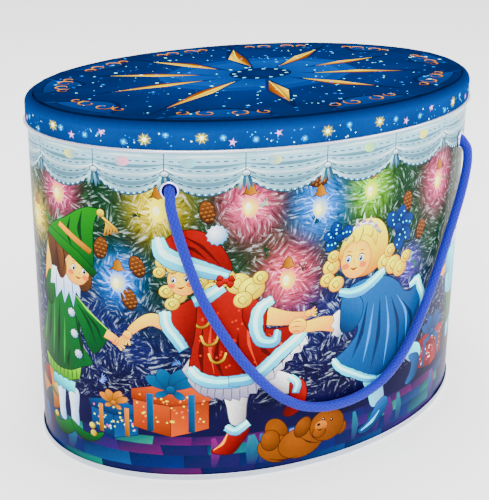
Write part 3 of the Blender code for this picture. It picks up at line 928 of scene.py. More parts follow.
# The doll in a fur-edged coat, running with one leg up
def coatDoll(art, x, coat, hair, fur):
    p = movedBy(x)
    soft(art, 4, p([(23, 55), (32, 52), (38, 47), (36, 42), (29, 42), (21, 47)]), "fdfaf4", "c0b8bc", 60,
        edge="6c6878")
    soft(art, 4, p([(34, 49), (40, 47), (42, 40), (40, 33), (34, 29), (30, 31), (33, 37), (33, 43)]),
        coat[0], coat[2], 20, edge="480c0c")
    furTrim(art, p([(33, 50), (37, 46), (36, 41)]), (3.4, 4.0, 3.4), *fur)
    soft(art, 4, p([(2, 46), (3, 38), (5, 29), (11, 29), (12, 38), (12, 46)]), "fdfaf4", "b8b0b4", 170,
        edge="6c6878")
    soft(art, 4, p([(5, 27), (12, 28), (13.5, 25), (9, 17), (5, 13), (-2, 13.5), (-4, 15.5), (1, 19),
                    (3, 23)]), coat[0], coat[2], 140, edge="480c0c")
    put(art, ribbon(p([(-3.4, 15.6), (1, 19), (4, 26)]), (0.5, 1.4, 0.3), 5), "f8c890")
    furTrim(art, p([(2.5, 27.5), (7, 25), (13, 29)]), (3.6, 4.6, 4.0), *fur)
    edge = [(-17, 58), (-13, 49.5), (-9, 46), (-4, 44), (2, 42.6), (8, 42.4), (14, 44), (20, 47.5), (27, 54),
            (33, 60),
            (40, 65), (43, 71)]
    zig = [(u + (0.9 if i % 2 else -0.5), v - (1.2 if i % 2 else -0.3)) for i, (u, v) in enumerate(
        [(a[0] + (b[0] - a[0]) * t, a[1] + (b[1] - a[1]) * t) for a, b in zip(edge, edge[1:]) for t in (0,
            0.33, 0.66)])]
    put(art, p(zig + [(38, 74), (10, 60), (-14, 64)]), "f4f0f8", "a8a4c0", 80, edge="5c5880")
    folds(art, [[(x + u, v), (x + u - (u - 10) * 0.04, v + 4), (x + u - (u - 10) * 0.08, v + 8)] for u,
                v in zig[1::2]],
          "8884a8", 0.6)
    soft(art, 5, p([(-11, 92), (-6, 97), (4, 98), (14, 92), (19, 84), (18, 78), (24, 76), (34, 76), (39, 72),
                           (36, 66), (28, 58), (19, 52), (9, 50), (0, 50), (-8, 53), (-14, 59), (-13,
                               68), (-13, 78)]), coat[0], coat[1], 110, edge="480c0c")
    folds(art, [p([(-8, 80), (-9, 66), (-8, 54)]), p([(0, 78), (-2, 64), (2, 52)]),
                p([(8, 76), (8, 64), (12, 52)]),
                p([(16, 76), (20, 66), (27, 60)])], coat[2], 2.4)
    folds(art, [p([(-4, 84), (-5, 70), (-3, 56)]), p([(12, 84), (13, 70), (17, 58)]),
                p([(22, 74), (28, 68), (33, 66)])],
          coat[3], 1.5)
    for _ in range(46):
        u, v = random.uniform(-11, 30), random.uniform(54, 92)
        if v < 60 + (u < 20) * 40 and not (u > 20 and v > 74):
            put(art, starShape(x + u, v, 0.85, 0.35, 6, random.uniform(0, 60)), coat[3])
    for fx, fy in ((-8.5, 82), (-5, 73), (-1.5, 64)):
        put(art, ribbon(p([(fx - 4, fy + 2.4), (fx - 2.6, fy - 1.4), (fx, fy - 2.6), (fx + 2.8, fy - 1),
                           (fx + 4, fy + 2.4)]),
                        (1.0, 1.2, 1.2, 1.0), 5), "fce080", "a86c10", edge="5c2c08", grow=0.25)
    limb(art, p([(-24, 81), (-31, 83), (-37, 80), (-41, 76)]), (7.0, 6.0, 4.6, 3.6))
    hand(art, x - 42.5, 74.0, -115, 0.95)
    soft(art, 4, p([(-11, 92), (-17, 91), (-22, 88), (-22, 82), (-18, 74), (-13, 70)]), coat[0], coat[2],
        150, edge="480c0c")
    furTrim(art, p([(-25, 87), (-24, 80), (-20, 74), (-16.5, 68.5)]), (5.0, 5.4, 5.4, 5.0), *fur)
    limb(art, p([(21, 83), (30, 80.5), (38, 80), (42, 81)]), (9.0, 7.0, 4.8, 3.2))
    hand(art, x + 42, 81, 8, 0.8)
    soft(art, 4, p([(12, 93), (18, 90), (21, 85), (20, 74), (17, 70), (13, 76), (10, 84)]), coat[0],
        coat[2], 60, edge="480c0c")
    furTrim(art, p([(24, 91), (18, 87), (16, 79), (18.5, 71), (25, 69.5), (26.5, 75)]),
            (4.2, 5.6, 6.4, 6.0, 5.0, 3.0), *fur)
    furTrim(art, p([(-14, 59), (-10, 54), (-3, 51.4), (4, 51), (9, 50.6)]), (5.0, 6.0, 6.2, 6.0, 5.0), *fur)
    furTrim(art, p([(4, 51.5), (13, 52), (20, 56), (28, 63), (36, 69), (40, 73)]),
            (5.4, 6.2, 6.6, 6.4, 6.0, 4.0), *fur)
    curls(art, x, [(-19, 95, 4.2), (-24, 97, 3.4), (-21.5, 91, 3.4), (8, 100, 5.6), (14, 97, 6.2),
                   (2, 103, 4.6),
                (10, 92, 4.4), (18, 102, 3.6), (-6, 104, 4)], *hair)
    face(art, x - 16.5, 102.5, 7.0, -0.6, 6, "3c5a88")
    curls(art, x, [(-25, 111, 3.8), (-21, 108.5, 3.0), (-27, 106, 2.8), (-8.5, 107, 3.0), (-9, 101, 3.4),
                   (-4, 98, 3.6)], *hair)
    furTrim(art, p([(-12, 92), (-6, 94.5), (1, 99)]), (5.0, 6.6, 5.0), *fur)
    soft(art, 5, p([(-26, 117), (-22, 123), (-14, 126), (-6, 124), (1, 117), (5, 108), (2, 105), (-8, 110),
                           (-16, 114)]), coat[0], coat[1], 120, edge="480c0c")
    folds(art, [p([(-16, 123), (-8, 118), (0, 109)]), p([(-20, 120), (-12, 117), (-6, 112)])], coat[2], 1.6)
    furTrim(art, p([(-27.5, 122), (-25, 114.5), (-17, 110.5), (-8, 107.5), (3.5, 103.8)]),
            (5.6, 8.4, 8.4, 7.6, 5.0), *fur)
    put(art, starShape(x - 1.6, 123.4, 4.9, 4.1, 12), "ffffff", "88bcd8", ball=(x - 2.8, 125, 6.6),
        edge="3c7098")
    for turn in (150, 205, 20, -35):
        a = math.radians(turn)
        soft(art, 4, [(x + 2, 101.5), (x + 2 + 4 * math.cos(a - 0.4), 101.5 + 4 * math.sin(a - 0.4)),
                             (x + 2 + 4 * math.cos(a + 0.4), 101.5 + 4 * math.sin(a + 0.4))],
            "f04030", "980c10", edge="480c0c", grow=0.2)
    put(art, ellipse(x + 2, 101.5, 1.5), "f86050", "980c10")


# The doll with a tiara, two bows and a wide coat
def bowDoll(art, x, coat, hair, bows):
    p = movedBy(x)
    soft(art, 4, p([(34, 47), (42, 44), (44, 37), (38, 35), (31, 39), (27, 44)]), "fafcff", "b0c0dc", 60,
        edge="5c6c94")
    soft(art, 4, p([(33, 40), (38, 40), (42, 38), (43.5, 33), (41, 27), (35, 24), (31.5, 25), (35, 30),
                    (36, 35)]), coat[0], coat[2], 160, edge="0c2c54")
    soft(art, 4, p([(0, 38), (3, 30), (6.5, 21), (14, 22), (13.5, 30), (10, 40)]), "fafcff", "b0c0dc", 160,
        edge="5c6c94")
    soft(art, 4, p([(15, 24), (18, 21), (15.5, 15), (7, 8.5), (0, 8), (-1.5, 10.5), (4, 13.5), (8, 19),
                    (10, 22)]), coat[0], coat[2], 120, edge="0c2c54")
    put(art, ribbon(p([(0, 9.6), (7, 12.5), (12, 17)]), (0.6, 2.0, 0.5), 5), "c0d8f0")
    put(art, p([(-17, 50), (-6, 44), (0, 39), (8, 35.5), (14, 36), (24, 40), (36, 48), (30, 54), (0, 54)]),
        "fafcff",
        "b4c4e0", 60, edge="5c6c94")
    soft(art, 5, p([(-15, 86), (-8, 91), (4, 92), (14, 89), (21, 84), (25, 79), (31, 77), (36, 80), (40, 74),
                           (40, 64), (36, 52), (29, 44), (20, 39), (8, 37), (0, 41), (-8, 47), (-18,
                               53), (-12, 58),
                           (-6, 64), (-6, 70), (-14, 72), (-16, 79)]), coat[0], coat[1], 120, edge="0c2c54")
    folds(art, [p([(0, 80), (-3, 64), (-8, 52)]), p([(8, 80), (8, 60), (4, 42)]),
                p([(16, 78), (22, 62), (22, 44)]),
                p([(24, 74), (32, 64), (33, 52)])], coat[2], 2.6)
    folds(art, [p([(4, 78), (2, 62), (-1, 48)]), p([(12, 80), (15, 62), (13, 42)]),
                p([(20, 78), (28, 66), (29, 50)])],
          coat[3], 1.6)
    furTrim(art, p([(-19, 54), (-15, 48.5), (-7, 43.5), (1, 38.8), (9, 36)]), (3.2, 4.0, 4.2, 4.0, 3.0),
            *bows[2])
    furTrim(art, p([(9, 36), (17, 37), (26, 41)]), (2.8, 3.4, 3.0), *bows[2])
    furTrim(art, p([(30, 80), (36, 81.5), (38.5, 77), (42, 71), (42, 62), (38.5, 54)]),
            (3.0, 5.0, 4.4, 5.0, 5.0, 3.6), *bows[2])
    limb(art, p([(-18, 72.5), (-26, 74.5), (-34, 74.5), (-37.5, 76)]), (8.0, 7.0, 5.6, 4.6))
    put(art, ellipse(x - 38.6, 75.6, 4.4, 4.0), skin["light"], skin["mid"], edge=skin["line"], grow=0.25)
    folds(art, [p([(-42, 77.5), (-39, 78), (-36.5, 77.2)]), p([(-42.4, 75.2), (-39.5, 75.6), (-37, 75)]),
                p([(-41.8, 73), (-39.2, 73.2), (-37, 72.8)])], skin["dark"], 0.5)
    put(art, p([(-20, 77.5), (-17, 79.5), (-14, 78), (-12.5, 72), (-14, 66.5), (-17, 65.5), (-19, 67),
                (-20.6, 66.8),
                (-19, 70), (-21, 72), (-19.2, 74.4)]), "ffffff", "98a8c4", 150, edge="5c6c94")
    soft(art, 4, p([(-15, 85), (-8, 86), (-3, 80), (-4, 72), (-9, 67), (-15, 68), (-16, 76)]), coat[0],
        coat[2], 60, edge="0c2c54")
    soft(art, 5, p([(-16, 112), (-11, 119), (-3, 122), (5, 120), (10, 114), (11, 106), (7, 98), (-2, 94),
                           (-12, 96), (-17, 103)]), hair[0], hair[1], 100, edge=hair[2])
    curls(art, x, [(-22, 102, 4.6), (-24, 96, 3.8), (-19, 93, 4.2), (-21, 107, 3.2), (10, 98, 5.0),
                   (16, 95, 5.2),
                (21, 92, 4.8), (25, 97, 3.6), (13, 103, 3.6)], *hair)
    furTrim(art, p([(-17, 88.5), (-10, 86.5), (-2, 87.5), (6, 91.5), (10, 94)]), (3.6, 5.2, 5.8, 5.2, 3.4),
            *bows[2])
    face(art, x - 8.2, 103.2, 8.8, -0.3, -4, "2878b8")
    soft(art, 4, p([(-18, 108), (-14, 116), (-5, 119.5), (3, 116), (3.5, 108), (1, 112), (-4, 114.5),
                    (-8, 111.5),
                           (-11, 113), (-15, 109.5), (-17,
                                                      104)]), hair[0], hair[1], 90, edge=hair[2], grow=0.25)
    folds(art, [p([(-12, 117), (-10, 114), (-11, 111.6)]), p([(-5, 119), (-5, 116), (-7, 112)]),
                p([(1, 117), (1, 114), (-1, 112)])], hair[2], 0.6)
    put(art, ribbon(p([(-15, 113.5), (-9, 119.5), (-1, 119.8), (6, 113.5)]), (1.0, 1.5, 1.5, 1.0), 6),
        "f4f4f8", "9898b0",
        edge="505068", grow=0.2)
    for u, v, h in ((-12, 117.4, 2.4), (-8.4, 120, 3.2), (-4.6, 121.0, 4.6), (-0.8, 120.2, 3.2),
                    (2.8, 117.6, 2.4)):
        put(art, [(x + u - 1.3, v - 0.6), (x + u + 1.3, v - 0.6), (x + u + (u + 4.6) * 0.12, v + h)],
            "ffffff", "a8a8c0",
            edge="505068", grow=0.15)
        put(art, ellipse(x + u, v + 0.2, 0.55, count=8), "f08ca8")
    for bx, by, size, leanings in ((-18.5, 115.5, 1.0, (165, 110, 215, 30)),
                                   (18, 113, 1.35, (75, 20, -35, -80, 130))):
        for turn in leanings:
            a = math.radians(turn)
            r = 8.4 * size
            soft(art, 4, [(x + bx, by), (x + bx + r * 0.7 * math.cos(a - 0.5),
                                         by + r * 0.7 * math.sin(a - 0.5)),
                                 (x + bx + r * math.cos(a), by + r * math.sin(a)),
                                 (x + bx + r * 0.7 * math.cos(a + 0.5), by + r * 0.7 * math.sin(a + 0.5))],
                bows[0], bows[1], turn, edge="0c1c4c", grow=0.3)
            for k in range(3):
                out, lean = r * (0.35 + 0.2 * k), a + 0.2 - 0.2 * k
                dot = ellipse(x + bx + out * math.cos(lean), by + out * math.sin(lean), 0.5, count=7)
                put(art, dot, "f4f8ff")
        put(art, ellipse(x + bx, by, 2.0 * size), bows[0], bows[1], edge="0c1c4c", grow=0.2)


def fairHairedBoy(art, x, shirt, trousers, hair):
    p = movedBy(x)
    for left in (-6, 3):
        soft(art, 3, p([(left, 44), (left + 1, 30), (left + 5.5, 30), (left + 6, 44)]), "fafcff", "b0c0dc",
            160, edge="5c6c94")
        soft(art, 4, p([(left, 31), (left - 1, 26), (left + 4, 23), (left + 9, 25), (left + 6, 31)]),
            "7a3c1c", "3c1c10", edge="1c0c08")
    soft(art, 4, p([(-9, 62), (-9, 50), (-7, 41), (0, 42), (1, 50), (3, 42), (11, 41), (12, 52), (10, 62)]),
        trousers[0], trousers[1], 130, edge="103818")
    soft(art, 5, p([(-9, 86), (-14, 76), (-13, 62), (0, 58), (13, 61), (14, 74), (9, 86), (0, 89)]),
        shirt[0], shirt[1], 120, edge="48688c")
    folds(art, [p([(-6, 80), (-8, 70), (-8, 62)]), p([(1, 78), (0, 68), (1, 60)]),
                p([(8, 80), (9, 70), (8, 62)])],
          shirt[2], 1.5)
    limb(art, p([(-12, 78), (-20, 76), (-27, 79)]), (5.5, 5.0, 3.6))
    hand(art, x - 28, 79.5, 160, 0.8)
    soft(art, 4, p([(-8, 86), (-15, 83), (-16, 75), (-10, 72), (-7, 78)]), shirt[0], shirt[1], 40,
        edge="48688c")
    curls(art, x, [(-7, 98, 4.6), (6, 98, 4.8), (-8, 104, 4), (7, 105, 4.4)], *hair)
    face(art, x - 1, 98.5, 7.6, -0.3, 4, "3c6c48")
    curls(art, x, [(-6, 106, 3.6), (0, 108, 4.2), (6, 106, 3.8)], *hair)
    put(art, p([(-7, 90), (0, 92), (7, 90), (9, 85), (4, 87), (0, 83), (-4, 87), (-9, 85)]), "ffffff",
        "b8d0e8",
        edge="5c80a4")


def teddy(art, x, y, fur):
    def lump(u, v, rx, ry, turn=0):
        put(art, ellipse(x + u, y + v, rx, ry, turn, 22), fur[0], fur[1],
            ball=(x + u - rx * 0.3, y + v + ry * 0.45, rx * 1.8),
            edge=fur[2], grow=0.35)
    lump(-9, 13.5, 5.2, 7.4, 28)
    lump(-9, 4.0, 9.6, 7.2, -22)
    lump(4, 5, 12, 8.4, 8)
    lump(-12, 9, 4.6, 5.6, 10)
    lump(13, 14, 4.2, 3.6, 20)
    lump(25.5, 7.5, 3.8, 3.8)
    lump(18, 11, 9.6, 8.6, -8)
    lump(4.5, 13, 3.8, 5.6, -30)
    lump(13.5, 8, 3.6, 2.8)
    put(art, ellipse(x + 14.5, y + 11.2, 3.4, 2.8), "e8b080", fur[0])
    put(art, ellipse(x + 13.2, y + 12.2, 1.0, 0.8, 0, 10), "2c1408")
    for u, v in ((15.8, 14.6), (20.4, 13.2)):
        put(art, ellipse(x + u, y + v, 0.75, 0.85, 0, 10), "1c0c08")
        put(art, ellipse(x + u - 0.2, y + v + 0.3, 0.22, count=6), "ffffff")
    folds(art, [[(x - 13, y - 1), (x - 6, y - 3), (x + 2, y - 2.4)], [(x + 3, y + 8), (x + 8, y + 4),
        (x + 14, y + 2)],
                [(x + 12, y + 10), (x + 14, y + 9), (x + 16.4, y + 9.8)]], fur[2], 0.8)


def wallArt():
    art = []
    floorTiles(art)
    firTufts(art)
    cones = [(-71, 134, 10), (-119, 115, -10), (-102, 108, 20), (-21, 145, 80), (34, 125, 5), (-106, 92, 15),
             (46, 108, -20), (104, 112, 20), (140, 132, -10), (125, 76, 30)]
    for turn in (0, halfTurn):
        for x, y, lean in cones:
            cone(art, x + turn, y, lean)
    for x, y, _, colour in allLamps:
        if colour != "8c7cd8":
            bulb(art, x, y - 1, colour, 0.9)
    for turn, coats in ((0, 0), (halfTurn, 1)):
        ball = (turn - 157, 33)
        put(art, ellipse(*ball, 11, 11), "f4c030", "a86010", ball=(ball[0] - 3, 37, 17), edge="403010")
        for k, colour in enumerate(("d82820", "1c7c8c", "e8e0c0")):
            a = math.radians(100 + 118 * k)
            soft(art, 4, [ball, (ball[0] + 10.6 * math.cos(a), 33 + 10.6 * math.sin(a)),
                                 (ball[0] + 10.9 * math.cos(a + 0.5), 33 + 10.9 * math.sin(a + 0.5)),
                                 (ball[0] + 10.6 * math.cos(a + 1.0), 33 + 10.6 * math.sin(a + 1.0))],
                colour, "502028", 60)
        present(art, turn - 115.5, 19.5, 24, 21, (("1c78b8", "0c3c74", "f0b83c", "98601c"),
                                                  ("b8308c", "64104c", "f4e8c0", "98802c"))[coats], 8,
                ["f4f0c0", "a8e0f0", "f8b0d8", "ffffff"])
        present(art, turn - 88, 23, 35, 28, (("f48c24", "b84c08", "1888b8", "0c4474"),
                                             ("3ca048", "145c24", "e03c34", "7c1410"))[coats], 13,
                ["fcd070", "f8a0a0", "ffe8a0", "f07050"])
        present(art, turn + 66, 26, 29, 22, (("e03450", "8c1430", "1c7cc0", "0c3c74"),
                                             ("f0a838", "a8600c", "6c3cb0", "38186c"))[coats], 13,
                ["f8a0b0", "fcd070", "ffffff"])
        present(art, turn + 128, 20, 30, 30, (("8c4cc8", "44187c", "f4d048", "a0741c"),
                                              ("2088c0", "0c3c74", "f0f0f8", "8088a8"))[coats], 11,
                ["f8e0a0", "ffffff", "f0a0d8"])
        hatDoll(art, turn - 140, (("2c9c4c", "0c6430", "064c22", "5cc070"),
                                  ("b03ca0", "6c1464", "4c0c48", "d878c8"))[coats],
                (("b8e048", "64b028", "3c8c1c"), ("f8a8d0", "d05c98", "a83c78"))[coats],
                (("3cb04c", "0c6c2c", "06501f"), ("c854b0", "701868", "500c4c"))[coats],
                (("a8704c", "54301c", "3c2010"), ("e8b860", "a06c28", "78481c"))[coats])
        coatDoll(art, turn - 65, (("e02c18", "a81410", "7c0c0c", "f87858"),
                                  ("2c78d8", "103c98", "0c2870", "78b0f4"))[coats],
                 (("fffce8", "dcb878", "9c7444"), ("c88c50", "7c481c", "4c280f"))[coats],
                 (("f4fafc", "8cc0dc"), ("fcf8f0", "d0bc9c"))[coats])
        bowDoll(art, turn + 10, (("3490cc", "14589c", "0c4078", "74bce8"),
                                 ("e05c78", "a8243c", "7c1428", "f89cac"))[coats],
                (("fff0a8", "eeb044", "b0702c"), ("a86c40", "5c341c", "3c200c"))[coats],
                (("2c64b8", "10307c", ("f4faff", "94b8e0")), ("48a860", "14602c",
                    ("fff8f4", "e0b8c0")))[coats])
        fairHairedBoy(art, turn + 96, (("d8e8f8", "94b4d8", "7494bc"), ("f8e0a0", "d8a848", "b88430"))[coats],
                      (("48a040", "1c6424"), ("40508c", "1c2454"))[coats],
                      (("f8dc70", "c89024", "906014"), ("c87840", "7c3c18", "542810"))[coats])
        teddy(art, turn - 29, 8.5, (("c87c38", "8c4c18", "4c240c"), ("e4d8c0", "b09c78", "6c5c40"))[coats])
    shades = ["f0e87c", "ecc4d4", "c4e4f0", "f0e87c", "d4ecc4"]
    ends = foldsAt[1:] + [foldsAt[0] + girth]
    for k, (left, right) in enumerate(zip(foldsAt, ends)):
        swag(art, left, right, shades[k % len(shades)])
    return art


def skirtGround(spots):
    up = np.clip((spots[:, 1] - 162) / 8, 0, 1)[:, None]
    wave = 0.10 * np.sin(spots[:, :1] / 7)
    colour = linear("0a58a0") * (1 - up) + linear("0c62ae") * up
    return np.column_stack([colour * (1 + wave), np.full(len(spots), 0.0)])


def skirtArt():
    art = []
    big = [(-142, 167.6), (-97, 166.2), (-73, 167.2), (-17, 166.6), (11, 167.4), (69, 166.6), (106, 167),
           (134, 166)]
    mauve = [(-131, 165), (-116, 168), (-60, 165), (-40, 168), (28, 165), (47, 168), (90, 165), (122, 168),
             (148, 165)]
    cyan = [-154, -137, -124, -106, -88, -64, -50, -28, -6, 21, 38, 60, 78, 98, 114, 128, 142, 153]
    for turn in (0, halfTurn):
        for k, x in enumerate(cyan):
            y = 163.6 + (k * 37 % 50) / 10
            put(art, ellipse(x + turn, y, 1.9, 1.6, count=14), "38b8e8", "0b5ca6", ball=(x + turn, y, 1.9))
            put(art, starShape(x + turn, y, 1.5, 0.35, 4, k * 21), "bcf0ff", "38b0e8",
                ball=(x + turn, y, 1.6))
        for k, (x, y) in enumerate(mauve):
            put(art, starShape(x + turn, y, 2.3, 0.7, 5, k * 31), "f4dcf0", "9468c0", ball=(x + turn, y, 2.2))
        for k, (x, y) in enumerate(big):
            put(art, ellipse(x + turn, y, 2.9, 2.4, count=16), "b8c878", "0c60a8", ball=(x + turn, y, 2.9))
            put(art, starShape(x + turn, y, 3.2, 0.7, 8, k * 13), "fffce0", "e8cc50", ball=(x + turn, y, 3.2))
            put(art, ellipse(x + turn, y, 0.9, count=8), "ffffff")
    for _ in range(scatter["skirtDots"]):
        x, y = random.uniform(-halfTurn, halfTurn), random.uniform(162.2, 169.2)
        put(art, ellipse(x, y, random.uniform(0.2, 0.42), count=6), random.choice(["9cdcf4", "5cb4e4",
            "e4ecf8"]))
    return art


def topGround(spots):
    x, y = spots[:, 0], spots[:, 1]
    away = np.hypot(x / 113, y / 77)
    wave = np.sin(x / 13 + 1.3 * np.sin(y / 9)) * np.cos(y / 11 + np.sin(x / 15))
    light = np.clip(1 - away, 0, 1)[:, None]
    colour = linear("0f3272") * (1 - light) + linear("16489a") * light
    return np.column_stack([colour * (1 + 0.16 * wave[:, None]), np.full(len(spots), 0.10)])


# The lid's gold rays, each as its inner end, its widest place and its tip
rays = [
    ((8, 20), (12, 40), (23, 62)), ((22, 14), (45, 28), (64, 41)), ((38, 5), (57, 6), (78, 8)),
    ((28, -9), (50, -17), (70, -27)), ((15, -17), (24, -33), (36, -47)), ((-3, -14), (-10, -33), (-18, -54)),
    ((-18, -7), (-42, -20), (-72, -38)), ((-31, 2), (-52, 3), (-78, 2)), ((-26, 14), (-45, 25), (-65, 34)),
    ((-11, 22), (-18, 38), (-31, 54)),
]


def topArt(long, short):
    art = []
    for ring, colours in ((1.0, ("2264b4", "123f88")), (0.82, ("2a78c4", "164a96"))):
        corner = [(3 + 55 * ring * math.cos(math.radians(36 * k + 10)),
                   4 + 36 * ring * math.sin(math.radians(36 * k + 10)))
                  for k in range(10)]
        put(art, corner, colours[1], colours[0], ball=(0, 0, 52), brush=0.1)
    order = sorted(math.atan2(middle[1] / short, middle[0] / long) for _, middle, _ in rays)
    for k, a in enumerate(order):
        b = order[(k + 1) % 10] + (math.tau if k == 9 else 0)
        middle = (a + b) / 2
        for spread, colours in ((1.0, ("0c2a62", "0c2a62")), (0.93, ("2058a4", "153f84"))):
            lobe = []
            for t in np.linspace(-1, 1, 15):
                inner = 0.80 - 0.02 * math.cos(t * math.pi) + 0.16 * abs(t) ** 3
                turn = middle + t * (b - a) * 0.36 * spread
                r = inner + (1 - spread) * 0.35
                lobe.append((r * long * math.cos(turn), r * short * math.sin(turn)))
            for t in np.linspace(1, -1, 9):
                turn = middle + t * (b - a) * 0.36 * spread
                r = 0.965 - (1 - spread) * 0.12
                lobe.append((r * long * math.cos(turn), r * short * math.sin(turn)))
            put(art, lobe, *colours, brush=0.1)
        for t, way, size in ((-0.72, 1, 3.0), (-0.28, -1, 4.2), (0.28, 1, 4.2), (0.72, -1, 3.0)):
            turn = middle + t * (b - a) * 0.36
            cx, cy = 0.875 * long * math.cos(turn), 0.875 * short * math.sin(turn)
            facing = math.atan2(cy / short ** 2, cx / long ** 2)
            hook = []
            for u in np.linspace(0, 1, 11):
                swirl = facing + way * (2.5 - 5.4 * u)
                r = size * (1.0 - 0.62 * u * u)
                hook.append((cx + r * math.cos(swirl), cy + r * math.sin(swirl)))
            put(art, ribbon(hook, (0.3, 1.7, 1.4, 1.0, 0.8), 3), "0a1c48")
            hook = [(u + 0.15, v + 0.25) for u, v in hook]
            put(art, ribbon(hook, (0.2, 1.1, 0.9, 0.6, 0.5), 3), "f0c878", "8c5424", 60)
    for inner, middle, outer in rays:
        i, m, o = Vector(inner), Vector(middle), Vector(outer)
        along = (o - i).normalized()
        side = Vector((-along.y, along.x)) * (5.6 - abs(along.x) * 2.4)
        core = i - along * 9
        far = o + along * 16
        put(art, [core, m - side * 1.25, far, m + side * 1.25], "0b2458", "153c84",
            math.degrees(math.atan2(along.y, along.x)))
        left, right = m + side, m - side
        put(art, [i, left, o, m], "fbe07c", "a8680c", math.degrees(math.atan2(side.y, side.x)))
        put(art, [i, m, o, right], "d88c14", "6c3c08", math.degrees(math.atan2(side.y, side.x)))
        put(art, ribbon([tuple(i), tuple(m), tuple(o)], (0.2, 0.9, 0.2), 3), "fff4b0", "e0a02c")
    put(art, ellipse(3, 3, 17, 12, count=40), "123a80", "0c2862", ball=(3, 3, 17))
    for k in range(12):
        a = math.tau * k / 12
        put(art, ellipse(3 + 14.5 * math.cos(a), 3 + 9.6 * math.sin(a), 1.1, 0.9, 0, 10), "e8f0fc", "7c98cc")
    for _ in range(scatter["lidStars"]):
        a, r = random.uniform(0, math.tau), math.sqrt(random.uniform(0.03, 0.9))
        x, y = r * long * math.cos(a), r * short * math.sin(a)
        size = random.choice((0.4, 0.5, 0.7, 0.9, 1.3))
        put(art, starShape(x, y, size, size * 0.45, 4, random.uniform(0, 90)), random.choice(
            ["8cb8ec", "c8d8f8", "5c94d8", "f0f4ff"]))
    return art


# The wall: the printed sheet outside, the bare one inside, and the curled top edge that joins them
def makeWall():
    low, high = tin["footZ"] / mm, shoulderZ / mm
    art = wrapped(wallArt(), girth)
    strips = wallStrips(low, high, printed["wallRows"], printed["wallStrip"])
    outer = paintedSheet("outer", strips, art, wallGround, holeOutlines, (-halfTurn, low), (halfTurn, high),
                         printed["wall"])
    moveFlat(outer, lambda co: ontoOval(co[:, 0], co[:, 1] * mm, flareAt(co[:, 1] * mm)))
    tagSheet(outer, 1)
    innerHigh = high + tin["curl"] / mm * math.sin(math.radians(300))
    inner = paintedSheet("inner", wallStrips(low, innerHigh, 8, tin["columns"]), [],
                         lambda spots: np.tile((0.5, 0.5, 0.5, 0), (len(spots), 1)), holeOutlines)
    moveFlat(inner, lambda co: ontoOval(co[:, 0], co[:, 1] * mm, flareAt(co[:, 1] * mm) - tin["plate"]))
    tagSheet(inner, 2)
    inner.flip_normals()
    shape = bmesh.new()
    shape.from_mesh(outer)
    shape.from_mesh(inner)
    sheetLayer = shape.faces.layers.int["sheet"]
    for face in shape.faces:
        face.material_index = 0 if face[sheetLayer] == 1 else 1
    curl = arc((-tin["curl"], shoulderZ), tin["curl"], 0, 300, 14)
    curl[-1] = (-tin["plate"], shoulderZ + tin["curl"] * math.sin(math.radians(300)))
    addInto(shape, spunOval(curl, 1))
    foot = tin["footZ"]
    addInto(shape, spunOval([(tin["flare"] - tin["plate"], foot), (tin["flare"], foot)], 1))
    joinBoundaries(shape)
    rims = [e for e in shape.edges if e.is_boundary]
    for place in places.values():
        spot = place.translation
        ring = [e for e in rims if (e.verts[0].co - spot).length < holeR * mm * 1.6]
        bridged = bmesh.ops.bridge_loops(shape, edges=ring)
        for face in bridged["faces"]:
            face.material_index = 1
    crowded = {f for e in shape.edges if len(e.link_faces) > 2 for f in e.link_faces}
    bmesh.ops.delete(shape, geom=[f for f in crowded if any(e.is_boundary for e in f.edges)], context="FACES")
    bmesh.ops.holes_fill(shape, edges=[e for e in shape.edges if e.is_boundary], sides=0)
    bmesh.ops.recalc_face_normals(shape, faces=shape.faces)
    wall = toObject("tinWall", shape, [wallPrint, insideTin])
    slope = tin["flare"] / (shoulderZ - tin["footZ"])
    setNormals(wall, {
        1: lambda co: ovalNormals(co, tin["plate"], slope),
        2: lambda co: -ovalNormals(co, 0.0, slope),
    })
    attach(wall, "root")
    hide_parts("body_shell")


makeWall()


# The base: a hooked rim round the wall's foot and a panel with a pressed ring
base = {"web": 0.0008, "hook": 0.00055, "rim": 0.0029, "chuck": 0.0006, "ringInset": 0.011,
        "ringRise": 0.0008}


def makeBase():
    flare, plate, gap = tin["flare"], tin["plate"], tin["gap"]
    hookIn = flare + gap
    hookOut = hookIn + base["hook"]
    chuckOut = flare - plate - gap
    chuckIn = chuckOut - base["chuck"]
    panel, soft = base["rim"] - plate, 0.4 * base["hook"]
    ring, rise = base["ringInset"], base["ringRise"]
    under = [(-ring - 0.004, panel), (-ring - 0.003, panel), (-ring - 0.002, panel - rise),
             (-ring, panel - rise),
             (-ring + 0.001, panel), (chuckIn - base["chuck"], panel), (chuckIn - soft / 2, panel - soft),
             (chuckIn, panel - 2 * soft), (chuckIn, soft)]
    outside = (arc((chuckIn + soft, soft), soft, 180, 270, 4) + arc((hookOut - soft, soft), soft, 270, 360, 4)
               + arc((hookOut - soft, base["rim"] - soft), soft, 0, 90, 5))
    inside = [(hookIn, base["rim"] - soft), (hookIn, base["web"]), (chuckOut, base["web"]),
              (chuckOut, base["rim"] - soft), (chuckOut - soft, base["rim"]), (-ring + 0.001, base["rim"]),
              (-ring, base["rim"] - rise), (-ring - 0.002, base["rim"] - rise), (-ring - 0.003, base["rim"]),
              (-ring - 0.004, base["rim"])]
    shape = spunOval(under + outside[1:] + inside, 0, 240)
    bmesh.ops.holes_fill(shape, edges=[e for e in shape.edges if e.is_boundary], sides=0)
    bmesh.ops.recalc_face_normals(shape, faces=shape.faces)
    made = toObject("baseRim", shape, [silverTin])
    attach(made, "root")
    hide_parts("base_end")


makeBase()

# The lid: a skirt with a rolled bead, a round shoulder and a panel stepped up inside it
lid = {"height": 0.0135, "shoulder": 0.0036, "step": 0.0009, "bead": 0.0008, "inset": 0.012}


